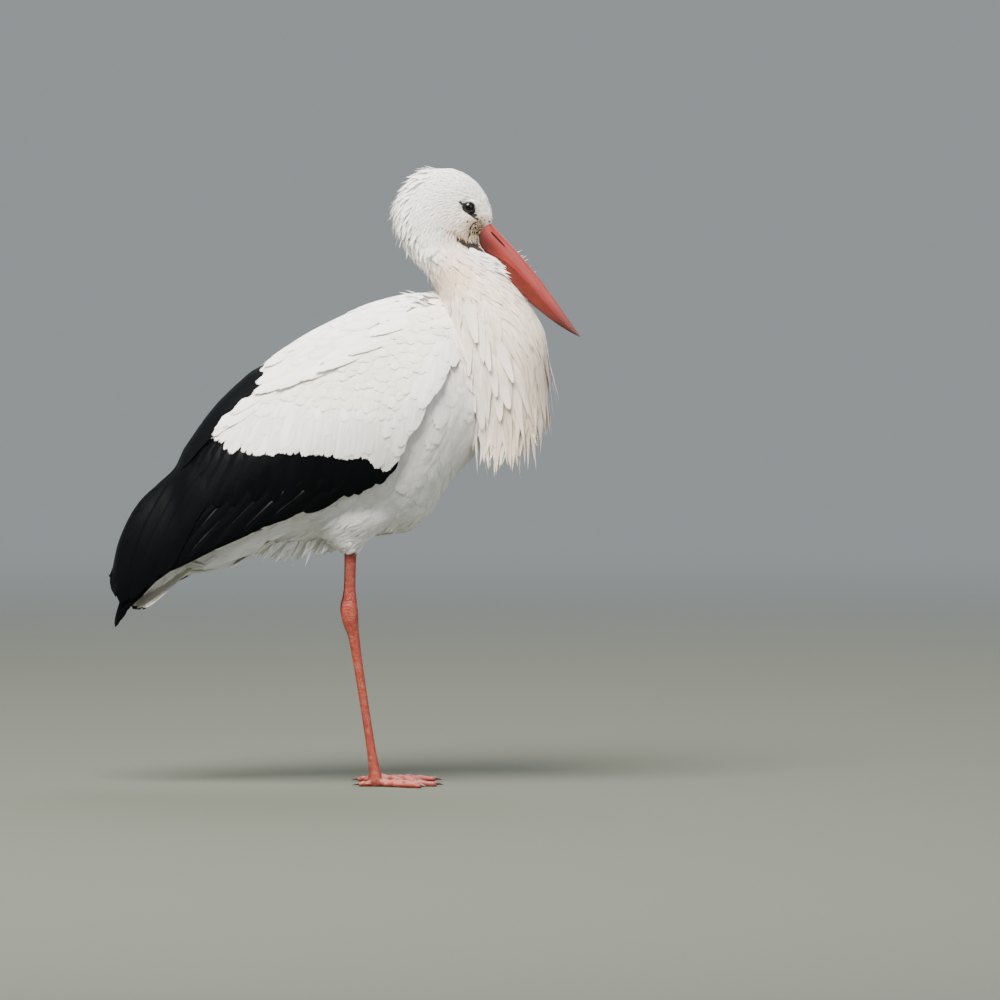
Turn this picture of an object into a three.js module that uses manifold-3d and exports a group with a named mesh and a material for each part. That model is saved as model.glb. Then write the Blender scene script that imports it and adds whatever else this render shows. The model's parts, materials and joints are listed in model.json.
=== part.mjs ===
// A white stork, Ciconia ciconia, life size: at rest on both feet with the neck drawn in, the bill lowered
// onto the long breast plumes and the wings folded over the tail.
// Millimetres, +X towards the bill, +Y to the bird's left, +Z up. The origin is on the ground, under the
// middle of the bird's box.
import * as THREE from "three";
import { mergeVertices } from "three/addons/utils/BufferGeometryUtils.js";
import Module from "manifold-3d";

const wasm = await Module();
wasm.setup();

// ---------------------------------------------------------------------------------------------------------
// Driving dimensions
// ---------------------------------------------------------------------------------------------------------
const GAP = 0.35; // air left between touching pieces
const HALF_LENGTH = 293.7; // bill tip and wing tip are this far from the origin along X
const HALF_STANCE = 36; // each leg's distance from the middle plane
const FAR_LEG_LAG = 2; // the left leg stands this much further back

const BILL_LENGTH = 170; // along the ridge, from the forehead feathers to the tip
const BILL_SLOPE = THREE.MathUtils.degToRad(51.1); // below the horizontal
const BILL_TIP = new THREE.Vector2(HALF_LENGTH, 560.5);
const BILL_ROOT = 26; // length of bill hidden in the head
const NOSTRIL = { from: -2, length: 26, drop: 4.8, rise: 0.06, height: 1.7, depth: 3 };

const EYE = { x: 154, z: 722.5, radius: 8.2, bulge: 3.4 };

const WING_THICKNESS = 9; // of the folded feathers together
const LEFT_WING_DROOP = 12; // the left wing's long feathers hang this much lower

const ANKLE = { x: 6, z: 215 };
const FOOT = { x: 38, z: 11 };
const TOES = [
  { name: "inner", length: 66, turn: -24, radius: 4.6 },
  { name: "middle", length: 82, turn: 2, radius: 5 },
  { name: "outer", length: 70, turn: 28, radius: 4.6 },
  { name: "hind", length: 27, turn: 172, radius: 4.4 },
];
const CLAW_LENGTH = 11;

// Level slices of the head, neck and plumed breast: height, rearmost x, foremost x, half width, front taper.
const NECK_SLICES = [
  [399, 180, 209, 16, 0],
  [421, 166, 226, 46, 0],
  [451, 150, 246, 64, 0],
  [481, 138, 256, 73, 0.02],
  [511, 128, 257, 75, 0.04],
  [556, 120, 254, 71, 0.08],
  [586, 116, 242, 65, 0.12],
  [616, 112, 220, 55, 0.18],
  [631, 106, 208, 48, 0.24],
  [646, 96, 196, 42, 0.3],
  [661, 82, 183, 38, 0.36],
  [676, 71, 174, 35, 0.4],
  [691, 64, 180, 33.5, 0.42],
  [706, 61, 186, 32.5, 0.4],
  [721, 61, 183, 31, 0.36],
  [736, 67, 177, 28.5, 0.3],
  [751, 76, 166, 24, 0.2],
  [763, 88, 150, 16, 0.1],
  [771.5, 108, 128, 5, 0],
];

// Upright slices of the trunk: x, top, bottom, half width, height of the widest place.
const TRUNK_SLICES = [
  [-258, 262, 232, 8, 247],
  [-235, 300, 238, 20, 266],
  [-200, 362, 258, 31, 305],
  [-160, 420, 285, 43, 345],
  [-120, 472, 299, 57, 380],
  [-80, 512, 297, 70, 405],
  [-40, 543, 296, 82, 425],
  [0, 568, 303, 90, 440],
  [40, 588, 310, 94, 455],
  [80, 600, 315, 94, 465],
  [104, 603, 335, 91, 472],
  [125, 600, 368, 84, 482],
  [150, 588, 397, 70, 490],
  [172, 560, 421, 50, 492],
  [188, 525, 452, 24, 490],
];

// Upright slices of the outline that both folded wings give:
// x, top, bottom, half width, height of the widest.
const WING_SLICES = [
  [-HALF_LENGTH, 262, 178, 13, 222],
  [-284, 305, 150, 22, 240],
  [-262, 348, 140, 34, 262],
  [-235, 380, 146, 45, 285],
  [-200, 430, 165, 57, 318],
  [-160, 476, 195, 70, 352],
  [-120, 514, 225, 82, 385],
  [-80, 546, 252, 92, 410],
  [-40, 571, 275, 99, 430],
  [0, 591, 290, 104, 445],
  [40, 608, 302, 106, 458],
  [80, 617, 316, 104, 470],
  [104, 619, 335, 100, 478],
  [125, 615, 372, 92, 486],
  [145, 600, 400, 78, 492],
];

// Level slices of a thigh's feathering: height, x of the middle, half length, half width, y of the middle.
const THIGH_SLICES = [
  [290, 6, 8.5, 7.5, HALF_STANCE],
  [298, 5, 13, 10, HALF_STANCE + 1],
  [312, 2, 34, 20, HALF_STANCE + 2],
  [328, 5, 52, 28, HALF_STANCE + 3],
  [344, 8, 60, 31, HALF_STANCE + 3],
  [362, 10, 54, 27, HALF_STANCE],
  [380, 12, 38, 18, HALF_STANCE - 4],
];

// ---------------------------------------------------------------------------------------------------------
// Materials
// ---------------------------------------------------------------------------------------------------------
const material = (color, roughness) => new THREE.MeshStandardMaterial({ color, roughness, metalness: 0 });
const whiteFeather = material("#efece6", 0.9);
const plumeFeather = material("#ece2d4", 0.9);
const blackFeather = material("#141417", 0.6);
const redBill = material("#c0503f", 0.45);
const redSkin = material("#cf4a38", 0.6);
const darkEye = material("#120d0b", 0.08);
const darkClaw = material("#4a2a24", 0.5);

// ---------------------------------------------------------------------------------------------------------
// Shaping tools
// ---------------------------------------------------------------------------------------------------------
const stork = new THREE.Group();
stork.name = "white_stork";

// A smooth reading of a slice table: key in, the row's other values out.
function reading(rows) {
  const slope = (i, column) => {
    const before = rows[Math.max(i - 1, 0)];
    const after = rows[Math.min(i + 1, rows.length - 1)];
    return (after[column] - before[column]) / (after[0] - before[0]);
  };
  return (key) => {
    let i = rows.findIndex((row, n) => n > 0 && key <= row[0]);
    if (i < 0) i = rows.length - 1;
    const [low, high] = [rows[i - 1], rows[i]];
    const span = high[0] - low[0];
    const t = THREE.MathUtils.clamp((key - low[0]) / span, 0, 1);
    const [t2, t3] = [t * t, t * t * t];
    return low.slice(1).map((value, n) => {
      const column = n + 1;
      return (
        (2 * t3 - 3 * t2 + 1) * value +
        (t3 - 2 * t2 + t) * span * slope(i - 1, column) +
        (3 * t2 - 2 * t3) * high[column] +
        (t3 - t2) * span * slope(i, column)
      );
    });
  };
}

// Keys from one end of a table to the other, closer together near both ends, where a body rounds off.
function steps(rows, count) {
  const [first, last] = [rows[0][0], rows[rows.length - 1][0]];
  return Array.from({ length: count }, (_, i) => {
    const even = i / (count - 1);
    const eased = (1 - Math.cos(Math.PI * even)) / 2;
    return THREE.MathUtils.lerp(first, last, THREE.MathUtils.lerp(even, eased, 0.5));
  });
}

// A closed solid through rings of points, each ring with the same number of them.
function throughRings(rings) {
  const around = rings[0].length;
  const points = rings.flat();
  const middle = (ring) => ring.reduce((sum, p) => sum.add(p), new THREE.Vector3()).divideScalar(around);
  points.push(middle(rings[0]), middle(rings[rings.length - 1]));
  const [startCap, endCap] = [points.length - 2, points.length - 1];
  const lastRing = (rings.length - 1) * around;
  const faces = [];
  for (let j = 0; j < around; j++) {
    const next = (j + 1) % around;
    for (let i = 0; i < rings.length - 1; i++) {
      const [a, b] = [i * around + j, i * around + next];
      faces.push(a, b, b + around, a, b + around, a + around);
    }
    faces.push(startCap, next, j, endCap, lastRing + j, lastRing + next);
  }
  return solidFrom(points, faces);
}

function solidFrom(points, faces) {
  const make = (triVerts) =>
    new wasm.Manifold(
      new wasm.Mesh({
        numProp: 3,
        vertProperties: new Float32Array(points.flatMap((p) => [p.x, p.y, p.z])),
        triVerts: new Uint32Array(triVerts),
      }),
    );
  const made = make(faces);
  if (made.volume() > 0) return made;
  const turned = [];
  for (let i = 0; i < faces.length; i += 3) turned.push(faces[i], faces[i + 2], faces[i + 1]);
  return make(turned);
}

function solidOf(geometry) {
  const bare = geometry.clone();
  bare.deleteAttribute("normal");
  bare.deleteAttribute("uv");
  const merged = mergeVertices(bare, 1e-4);
  const at = merged.attributes.position;
  const points = Array.from({ length: at.count }, (_, i) => new THREE.Vector3().fromBufferAttribute(at, i));
  return solidFrom(points, Array.from(merged.index.array));
}

// A side view outline of [x, z] points made a slab that reaches from y = low to y = high.
function slab(outline, low, high) {
  const shape = new THREE.Shape(outline.map(([x, z]) => new THREE.Vector2(x, z)));
  const geometry = new THREE.ExtrudeGeometry(shape, { depth: high - low, bevelEnabled: false });
  geometry.applyMatrix4(new THREE.Matrix4().makeRotationX(Math.PI / 2));
  geometry.translate(0, high, 0);
  return solidOf(geometry);
}

// An upright slice: pointed like a roof above its widest place, round below it.
const ROOF_POWER = 1.25;
function uprightSolid(rows, { grow = 0, count = 24, around = 24, roof = 1 } = {}) {
  const read = reading(rows);
  const rings = steps(rows, count).map((x, i) => {
    const [top, bottom, half, wide] = read(x);
    const end = i === 0 ? -grow : i === count - 1 ? grow : 0;
    return Array.from({ length: around }, (_, j) => {
      const angle = (2 * Math.PI * j) / around;
      const [up, side] = [Math.cos(angle), Math.sin(angle)];
      const reach = up > 0 ? top - wide + grow : wide - bottom + grow;
      const power = up > 0 ? roof : 1;
      return new THREE.Vector3(
        x + end,
        Math.max(half + grow, 0.5) * Math.sign(side) * Math.abs(side) ** power,
        wide + Math.max(reach, 0.5) * Math.sign(up) * Math.abs(up) ** power,
      );
    });
  });
  return throughRings(rings);
}

// A level slice, narrower towards the front by its taper.
function levelSolid(rows, { grow = 0, count = 30, around = 24 } = {}) {
  const read = reading(rows);
  const rings = steps(rows, count).map((z, i) => {
    const [rear, front, half, taper] = read(z);
    const end = i === 0 ? -grow : i === count - 1 ? grow : 0;
    return Array.from({ length: around }, (_, j) => {
      const angle = (2 * Math.PI * j) / around;
      const [ahead, side] = [Math.cos(angle), Math.sin(angle)];
      return new THREE.Vector3(
        (rear + front) / 2 + ((front - rear) / 2 + grow) * ahead,
        (half + grow) * side * (1 - taper * ahead),
        z + end,
      );
    });
  });
  return throughRings(rings);
}

// A limb: rings across a path of points, with a half width along `side` and a half depth across it.
function limb(path, halves, side, around = 8) {
  const rings = path.map((p, i) => {
    const before = path[Math.max(i - 1, 0)];
    const after = path[Math.min(i + 1, path.length - 1)];
    const along = after.clone().sub(before).normalize();
    const across = side.clone().cross(along).normalize();
    const [width, depth] = halves[i];
    return Array.from({ length: around }, (_, j) => {
      const angle = (2 * Math.PI * j) / around;
      return p
        .clone()
        .addScaledVector(side, width * Math.cos(angle))
        .addScaledVector(across, depth * Math.sin(angle));
    });
  });
  return throughRings(rings);
}

const largest = (solid) => solid.decompose().sort((a, b) => b.volume() - a.volume())[0];
const mirrored = (solid) => solid.mirror([0, 1, 0]);

// A solid with its neighbours' gap all round it, in the plane that `place` puts the shifts in.
function shiftedCopies(solid, place) {
  const turns = Array.from({ length: 8 }, (_, i) => (Math.PI * i) / 4);
  return wasm.Manifold.union(turns.map((t) => solid.translate(place(GAP * Math.cos(t), GAP * Math.sin(t)))));
}

const FLATNESS = 0.08; // faces that lie within this of one plane are joined

function addNode(name, built, finish) {
  const solid = largest(built.simplify(FLATNESS));
  const { vertProperties, triVerts, numProp } = solid.getMesh();
  const at = new Float32Array((vertProperties.length / numProp) * 3);
  for (let i = 0; i * 3 < at.length; i++) {
    at.set(vertProperties.subarray(i * numProp, i * numProp + 3), i * 3);
  }
  const geometry = new THREE.BufferGeometry();
  geometry.setAttribute("position", new THREE.BufferAttribute(at, 3));
  geometry.setIndex(new THREE.BufferAttribute(new Uint32Array(triVerts), 1));
  geometry.computeVertexNormals();
  const mesh = new THREE.Mesh(geometry, finish);
  mesh.name = name;
  stork.add(mesh);
}

// ---------------------------------------------------------------------------------------------------------
// Bill: one tapering blade, parted along the mouth, with a nostril slit in each side of the upper half
// ---------------------------------------------------------------------------------------------------------
const billAlong = new THREE.Vector2(Math.cos(BILL_SLOPE), -Math.sin(BILL_SLOPE));
const billDown = new THREE.Vector2(-Math.sin(BILL_SLOPE), -Math.cos(BILL_SLOPE));
const billBase = BILL_TIP.clone().addScaledVector(billAlong, -BILL_LENGTH);

// Along the straight line from the forehead to the tip: depth below it, half width, the ridge's rise above
// it, and the mouth line's place as a share of the whole depth.
const BILL_SECTIONS = [
  [-BILL_ROOT, 27, 9, 1, 0.93],
  [0, 33.5, 11.5, 2.3, 0.9],
  [22, 32.6, 10.7, 4.2, 0.7],
  [44, 30.5, 9.6, 5.2, 0.54],
  [80, 26, 7.9, 5.5, 0.48],
  [110, 20.5, 6.2, 4, 0.48],
  [135, 14.5, 4.4, 2.2, 0.49],
  [155, 7.8, 2.7, 0.8, 0.5],
  [166, 3, 1.3, 0.2, 0.5],
  [BILL_LENGTH, 0.8, 0.5, 0, 0.5],
];
const readBill = reading(BILL_SECTIONS);

const ridgePoint = (s) => billBase.clone().addScaledVector(billAlong, s);

function billSolid(grow = 0) {
  const rings = steps(BILL_SECTIONS, 10).map((s) => {
    const [depth, half, arch] = readBill(s);
    const centre = ridgePoint(s).addScaledVector(billDown, (depth - arch) / 2);
    return Array.from({ length: 10 }, (_, j) => {
      const angle = (2 * Math.PI * j) / 10;
      const off = ((depth + arch) / 2 + grow) * Math.cos(angle);
      return new THREE.Vector3(
        centre.x - billDown.x * off,
        (half + grow) * Math.sin(angle),
        centre.y - billDown.y * off,
      );
    });
  });
  return throughRings(rings);
}

function mouthSheet() {
  const line = (offset) =>
    [-BILL_ROOT - 5, ...BILL_SECTIONS.slice(1, -1).map((row) => row[0]), BILL_LENGTH + 5].map((s) => {
      const [depth, , arch, mouth] = readBill(s);
      const p = ridgePoint(s).addScaledVector(billDown, (depth + arch) * mouth - arch + offset);
      return [p.x, p.y];
    });
  return slab([...line(-GAP / 2), ...line(GAP / 2).reverse()], -20, 20);
}

function nostrilSlits() {
  const corner = (along, down) => {
    const drop = NOSTRIL.drop - NOSTRIL.rise * along + down;
    const p = ridgePoint(NOSTRIL.from + along).addScaledVector(billDown, drop);
    return [p.x, p.y];
  };
  const outline = [
    corner(0, 0),
    corner(NOSTRIL.length * 0.5, -NOSTRIL.height * 0.6),
    corner(NOSTRIL.length, 0),
    corner(NOSTRIL.length * 0.5, NOSTRIL.height * 0.6),
  ];
  const half = readBill(NOSTRIL.from + NOSTRIL.length / 2)[1] * 0.9;
  return slab(outline, half - NOSTRIL.depth, half + 5).add(slab(outline, -half - 5, NOSTRIL.depth - half));
}

const bill = billSolid();
const billSpace = billSolid(GAP);
const [upperBill, lowerBill] = bill
  .subtract(mouthSheet())
  .decompose()
  .sort((a, b) => b.volume() - a.volume());
addNode("bill_upper", largest(upperBill.subtract(nostrilSlits())), redBill);
addNode("bill_lower", lowerBill, redBill);

// ---------------------------------------------------------------------------------------------------------
// Trunk, and the head and neck above it
// ---------------------------------------------------------------------------------------------------------
const trunk = uprightSolid(TRUNK_SLICES, { count: 16, around: 16 });
const trunkSpace = uprightSolid(TRUNK_SLICES, { grow: GAP, count: 16, around: 16 });

const readNeck = reading(NECK_SLICES);
function headHalfWidth(x, z) {
  const [rear, front, half, taper] = readNeck(z);
  const ahead = (x - (rear + front) / 2) / ((front - rear) / 2);
  return half * Math.sqrt(1 - ahead * ahead) * (1 - taper * ahead);
}

// Long plumes hang from the breast in a fringe. Each goes from a root on the breast to its own tip.
const PLUMES = {
  count: 7, // on each side, from the shoulder to the front of the breast
  shoulder: { x: 172, z: 384 },
  front: { x: 268, z: 462 },
  rootRise: 78,
  halfWidth: 12,
  rootRadius: 7,
};

function plume(share, side) {
  const round = share * Math.PI * 0.5;
  const turn = Math.PI / 2 - round; // a plume lies flat on the breast, so it faces outwards
  const spread = 60 * Math.cos(round);
  const jag = 13 * Math.sin(share * 41); // uneven ends
  const tipX = THREE.MathUtils.lerp(PLUMES.shoulder.x, PLUMES.front.x, Math.sin(round));
  const tipZ = THREE.MathUtils.lerp(PLUMES.shoulder.z, PLUMES.front.z, share ** 1.6) + jag;
  const tip = new THREE.Vector3(tipX, side * spread * 0.92, tipZ);
  const root = new THREE.Vector3(tipX - 8 - 18 * share, side * spread * 0.94, tipZ + PLUMES.rootRise);
  const path = [0, 0.6, 1].map((t) => {
    const bow = new THREE.Vector3(9 * t * (1 - t), 0, 0);
    return root.clone().lerp(tip, t).add(bow);
  });
  const halves = [1, 0.7, 0.08].map((size) => [size * PLUMES.halfWidth, size * PLUMES.rootRadius]);
  return limb(path, halves, new THREE.Vector3(Math.sin(turn) * -side, Math.cos(turn), 0), 4);
}

function headAndNeck(grow = 0) {
  return levelSolid(NECK_SLICES, { grow, count: 20, around: 14 });
}

let neckAndPlumes = headAndNeck();
for (const side of [-1, 1]) {
  for (let i = 0; i < PLUMES.count; i++) {
    neckAndPlumes = neckAndPlumes.add(plume((i + 0.3) / PLUMES.count, side));
  }
}
neckAndPlumes = largest(neckAndPlumes.subtract(trunkSpace)).subtract(billSpace);

const eyeCentre = (side) =>
  new THREE.Vector3(EYE.x, side * (headHalfWidth(EYE.x, EYE.z) + EYE.bulge - EYE.radius), EYE.z);
function eyeBall(side, grow) {
  const geometry = new THREE.SphereGeometry(EYE.radius + grow, 10, 6);
  geometry.rotateX(Math.PI / 2);
  const { x, y, z } = eyeCentre(side);
  return solidOf(geometry.translate(x, y, z));
}

// The head is parted from the neck behind the cheeks, and the neck from the plumes at the collar.
const cut = (x0, z0, x1, z1) =>
  slab(
    [
      [x0, z0],
      [x1, z1],
      [x1, z1 + GAP],
      [x0, z0 + GAP],
    ],
    -150,
    150,
  );
const neckCuts = cut(0, 708, 240, 640).add(cut(0, 604, 330, 574));
const [ruff, neck, head] = neckAndPlumes
  .subtract(neckCuts)
  .decompose()
  .sort((a, b) => b.volume() - a.volume())
  .slice(0, 3)
  .sort((a, b) => a.boundingBox().max[2] - b.boundingBox().max[2]);

let headWithSockets = head;
for (const side of [-1, 1]) headWithSockets = headWithSockets.subtract(eyeBall(side, GAP));
addNode("head", largest(headWithSockets), whiteFeather);
addNode("neck", neck, whiteFeather);
addNode("breast_plumes", ruff, plumeFeather);
addNode("eye_right", eyeBall(-1, 0), darkEye);
addNode("eye_left", eyeBall(1, 0), darkEye);

// ---------------------------------------------------------------------------------------------------------
// Wings: a shell over the trunk on each side, parted into coverts, secondaries, tertials and primaries
// ---------------------------------------------------------------------------------------------------------
// Points between two ends with rounded feather tips that stand out to the left of the way they run.
function scallops([x0, z0], [x1, z1], count, depth) {
  const [dx, dz] = [(x1 - x0) / count, (z1 - z0) / count];
  const length = Math.hypot(dx, dz);
  const [nx, nz] = [-dz / length, dx / length];
  return Array.from({ length: count }, (_, i) =>
    [0, 0.3, 0.7].map((t) => {
      const out = depth * Math.sin(Math.PI * t);
      return [x0 + dx * (i + t) + nx * out, z0 + dz * (i + t) + nz * out];
    }),
  ).flat();
}

const HIGH = 660; // above the whole wing
const COVERT_LINE = [
  [-100, 531],
  [-116, 501],
  [-163, 449],
  [-168, 430],
];
const BAND_TOP = [
  [-139, 415],
  [33, 411],
  [43, 394],
  [54, 393],
];
const WING_FRONT = [
  [71, 413],
  [83, 444],
  [99, 481],
  [116, 519],
  [126, 560],
  [126, HIGH],
];

const covertsOutline = [
  [-100, HIGH],
  ...COVERT_LINE,
  ...scallops(BAND_TOP[0], BAND_TOP[1], 9, -4),
  ...BAND_TOP.slice(1),
  ...WING_FRONT,
];
const belowCoverts = (droop) => [
  ...scallops([54, 391], [28, 368], 2, -2),
  [28, 368 - droop * 0.2],
  [-11, 360 - droop * 0.4],
];
const primariesOutline = (droop) => [
  [-11, 361],
  [-68, 360],
  [-119, 357],
  [-154, 352],
  [-205, 305],
  [-250, 262],
  [-HALF_LENGTH - 5, 244],
  [-HALF_LENGTH - 5, 212],
  [-291, 198 - droop],
  [-283, 195 - droop],
  ...scallops([-270, 220 - droop], [-190, 281 - droop], 3, -4),
  ...scallops([-190, 281 - droop], [-139, 304 - droop], 2, -3),
  [-139, 304 - droop],
  [-92, 323 - droop],
  [-44, 341 - droop * 0.7],
];
const tertialsOutline = [
  [-100, HIGH],
  [-HALF_LENGTH - 5, HIGH],
  [-HALF_LENGTH - 5, 244],
  [-250, 262],
  [-205, 305],
  [-154, 352],
  [-150, 400],
  [-168, 430],
  [-163, 449],
  [-116, 501],
];
const secondariesOutline = (droop) => [
  [-168, 430],
  [-150, 400],
  [-154, 352],
  [-119, 357],
  [-68, 360],
  ...belowCoverts(droop).reverse(),
  [54, 393],
  [80, 440],
  [40, 440],
  [-120, 430],
];

const wingMesh = { count: 14, around: 20, roof: ROOF_POWER };
const wingOuter = uprightSolid(WING_SLICES, wingMesh);
const wingInner = uprightSolid(WING_SLICES, { ...wingMesh, grow: -WING_THICKNESS });
const neckSpace = headAndNeck(GAP);
const wingShell = wingOuter.subtract(wingInner).subtract(trunkSpace).subtract(neckSpace);

// Each outline is cut from the shell once the outlines before it have been taken, with a gap between them.
function wingPieces(side, droop) {
  const oneSide = slab(
    [
      [-400, 0],
      [400, 0],
      [400, 800],
      [-400, 800],
    ],
    ...(side < 0 ? [-200, -GAP] : [GAP, 200]),
  );
  const shell = wingShell.intersect(oneSide);
  const ends = side < 0 ? [-200, 0] : [0, 200];
  const outlines = {
    coverts: covertsOutline,
    primaries: primariesOutline(droop),
    tertials: tertialsOutline,
    secondaries: secondariesOutline(droop),
  };
  const pieces = {};
  let taken = null;
  for (const [name, outline] of Object.entries(outlines)) {
    const prism = slab(outline, ...ends);
    pieces[name] = largest(taken ? shell.intersect(prism).subtract(taken) : shell.intersect(prism));
    const spread = shiftedCopies(prism, (dx, dy) => [dx, 0, dy]);
    taken = taken ? taken.add(spread) : spread;
  }
  return pieces;
}

for (const [sideName, side, droop] of [
  ["right", -1, 0],
  ["left", 1, LEFT_WING_DROOP],
]) {
  for (const [name, piece] of Object.entries(wingPieces(side, droop))) {
    addNode(`wing_${sideName}_${name}`, piece, name === "coverts" ? whiteFeather : blackFeather);
  }
}

// ---------------------------------------------------------------------------------------------------------
// Tail: a closed fan between the wing tips
// ---------------------------------------------------------------------------------------------------------
const TAIL = { root: [-150, 320], tip: [-268, 214], feathers: 4 };

function tailFeather(share, side) {
  const turn = share * 0.16;
  const root = new THREE.Vector3(TAIL.root[0], side * 6 * share, TAIL.root[1]);
  const along = new THREE.Vector3(TAIL.tip[0] - TAIL.root[0], 0, TAIL.tip[1] - TAIL.root[1]);
  const length = along.length() * (1 - 0.05 * share * share);
  along.normalize();
  const sideways = new THREE.Vector3(0, side * Math.sin(turn), 0);
  const heading = along.clone().multiplyScalar(Math.cos(turn)).add(sideways);
  const path = [0, 0.8, 1].map((t) =>
    root.clone().addScaledVector(heading, length * t).add(new THREE.Vector3(0, 0, -3.5 * share)),
  );
  const halves = [8, 12, 5].map((half) => [half, 2.4]);
  return limb(path, halves, new THREE.Vector3(0, 1, 0), 6);
}

let tail = tailFeather(0, 1);
for (let i = 1; i < TAIL.feathers; i++) {
  for (const side of [-1, 1]) tail = tail.add(tailFeather(i / (TAIL.feathers - 1), side));
}
const insideWings = uprightSolid(WING_SLICES, { ...wingMesh, grow: -WING_THICKNESS - GAP });
const wingSpace = wingOuter.subtract(insideWings);
addNode("tail", largest(tail.subtract(trunkSpace).subtract(wingSpace)), whiteFeather);

// ---------------------------------------------------------------------------------------------------------
// Legs: feathered thigh, bare shin, ankle, shank, four toes and their claws
// ---------------------------------------------------------------------------------------------------------
const yAxis = new THREE.Vector3(0, 1, 0);
const aboveFloor = slab(
  [
    [-400, 0],
    [400, 0],
    [400, 800],
    [-400, 800],
  ],
  -200,
  200,
);

function thighSolid() {
  const read = reading(THIGH_SLICES);
  const around = 12;
  const rings = steps(THIGH_SLICES, 9).map((z) => {
    const [x, halfLength, halfWidth, y] = read(z);
    return Array.from({ length: around }, (_, j) => {
      const angle = (2 * Math.PI * j) / around;
      return new THREE.Vector3(x + halfLength * Math.cos(angle), y + halfWidth * Math.sin(angle), z);
    });
  });
  return throughRings(rings);
}

// A toe's solid, or with `grow` the room that its neighbours leave for it.
// A toe's pads swell and narrow along it: the shares of its length, and the shares of its radius there.
const KNUCKLES = [0.06, 0.3, 0.45, 0.62, 0.85, 1];
const KNUCKLE_SWELL = [1, 1.02, 0.82, 0.92, 0.78, 0.5];

function digitSolid(toe, foot, grow = 0) {
  const turn = THREE.MathUtils.degToRad(toe.turn);
  const heading = new THREE.Vector3(Math.cos(turn), Math.sin(turn), 0);
  const side = new THREE.Vector3(-heading.y, heading.x, 0);
  const bare = toe.length - CLAW_LENGTH / 2;
  const knuckles = KNUCKLES;
  const swell = KNUCKLE_SWELL;
  const path = knuckles.map((t, i) => {
    const along = bare * t + (i === knuckles.length - 1 ? grow : 0);
    const height = toe.radius * 0.8 * swell[i] + (i === 0 ? 2 : 0);
    return new THREE.Vector3(foot.x, foot.y, height).addScaledVector(heading, along);
  });
  const halves = swell.map((size) => [toe.radius * size + grow, toe.radius * size + grow]);
  return limb(path, halves, side, 8).intersect(aboveFloor);
}

const CLAW_DROOP = 2.2;

function clawSolid(toe, foot) {
  const turn = THREE.MathUtils.degToRad(toe.turn);
  const heading = new THREE.Vector3(Math.cos(turn), Math.sin(turn), 0);
  const side = new THREE.Vector3(-heading.y, heading.x, 0);
  const root = toe.length - CLAW_LENGTH * 0.75;
  const path = [0, 0.5, 1].map((t) => {
    const height = toe.radius * 0.75 - CLAW_DROOP * t * t;
    return new THREE.Vector3(foot.x, foot.y, height).addScaledVector(heading, root + CLAW_LENGTH * t);
  });
  const halves = [1, 0.7, 0.1].map((size) => [toe.radius * 0.42 * size, toe.radius * 0.42 * size]);
  return limb(path, halves, side, 6).intersect(aboveFloor);
}

// Heights along the bare leg with the half width across Y and the half depth there.
const SHIN_RINGS = [
  { x: 8, z: 318, half: [6, 7.6] },
  { x: 7, z: 296, half: [6, 7.4] },
  { x: 6.5, z: 270, half: [5.4, 6.7] },
  { x: 6, z: 245, half: [5.6, 6.9] },
  { x: ANKLE.x, z: ANKLE.z + 17, half: [7, 8.6] },
];
const ANKLE_RINGS = [
  { x: ANKLE.x, z: ANKLE.z + 17 - GAP, half: [7, 8.6] },
  { x: ANKLE.x - 1, z: ANKLE.z + 8, half: [8.4, 10.6] },
  { x: ANKLE.x - 0.5, z: ANKLE.z, half: [8.6, 11] },
  { x: ANKLE.x + 1.5, z: ANKLE.z - 9, half: [8, 9.8] },
  { x: ANKLE.x + 3, z: ANKLE.z - 17, half: [6.4, 8] },
];
const SHANK_HALVES = [
  [0, [6.4, 8]],
  [0.15, [5, 6.4]],
  [0.45, [4.4, 5.6]],
  [0.75, [4.6, 5.6]],
  [0.9, [6, 6.2]],
  [1, [6.6, 6.6]],
];
const SHANK_RINGS = SHANK_HALVES.map(([share, half]) => ({
  x: THREE.MathUtils.lerp(ANKLE.x + 3, FOOT.x, share),
  z: THREE.MathUtils.lerp(ANKLE.z - 17 - GAP, FOOT.z, share),
  half,
}));
const PALM_RADIUS = 8;

function legPart(rings, lag, grow = 0) {
  const path = rings.map(({ x, z }) => new THREE.Vector3(x - lag, HALF_STANCE, z));
  const halves = rings.map(({ half }) => half.map((size) => size + grow));
  return limb(path, halves, yAxis);
}

function palmBall(foot, grow = 0) {
  const ball = new THREE.SphereGeometry(PALM_RADIUS + grow, 8, 5).scale(1.1, 1, 1);
  return solidOf(ball.translate(foot.x, foot.y, PALM_RADIUS * 0.8));
}

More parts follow.
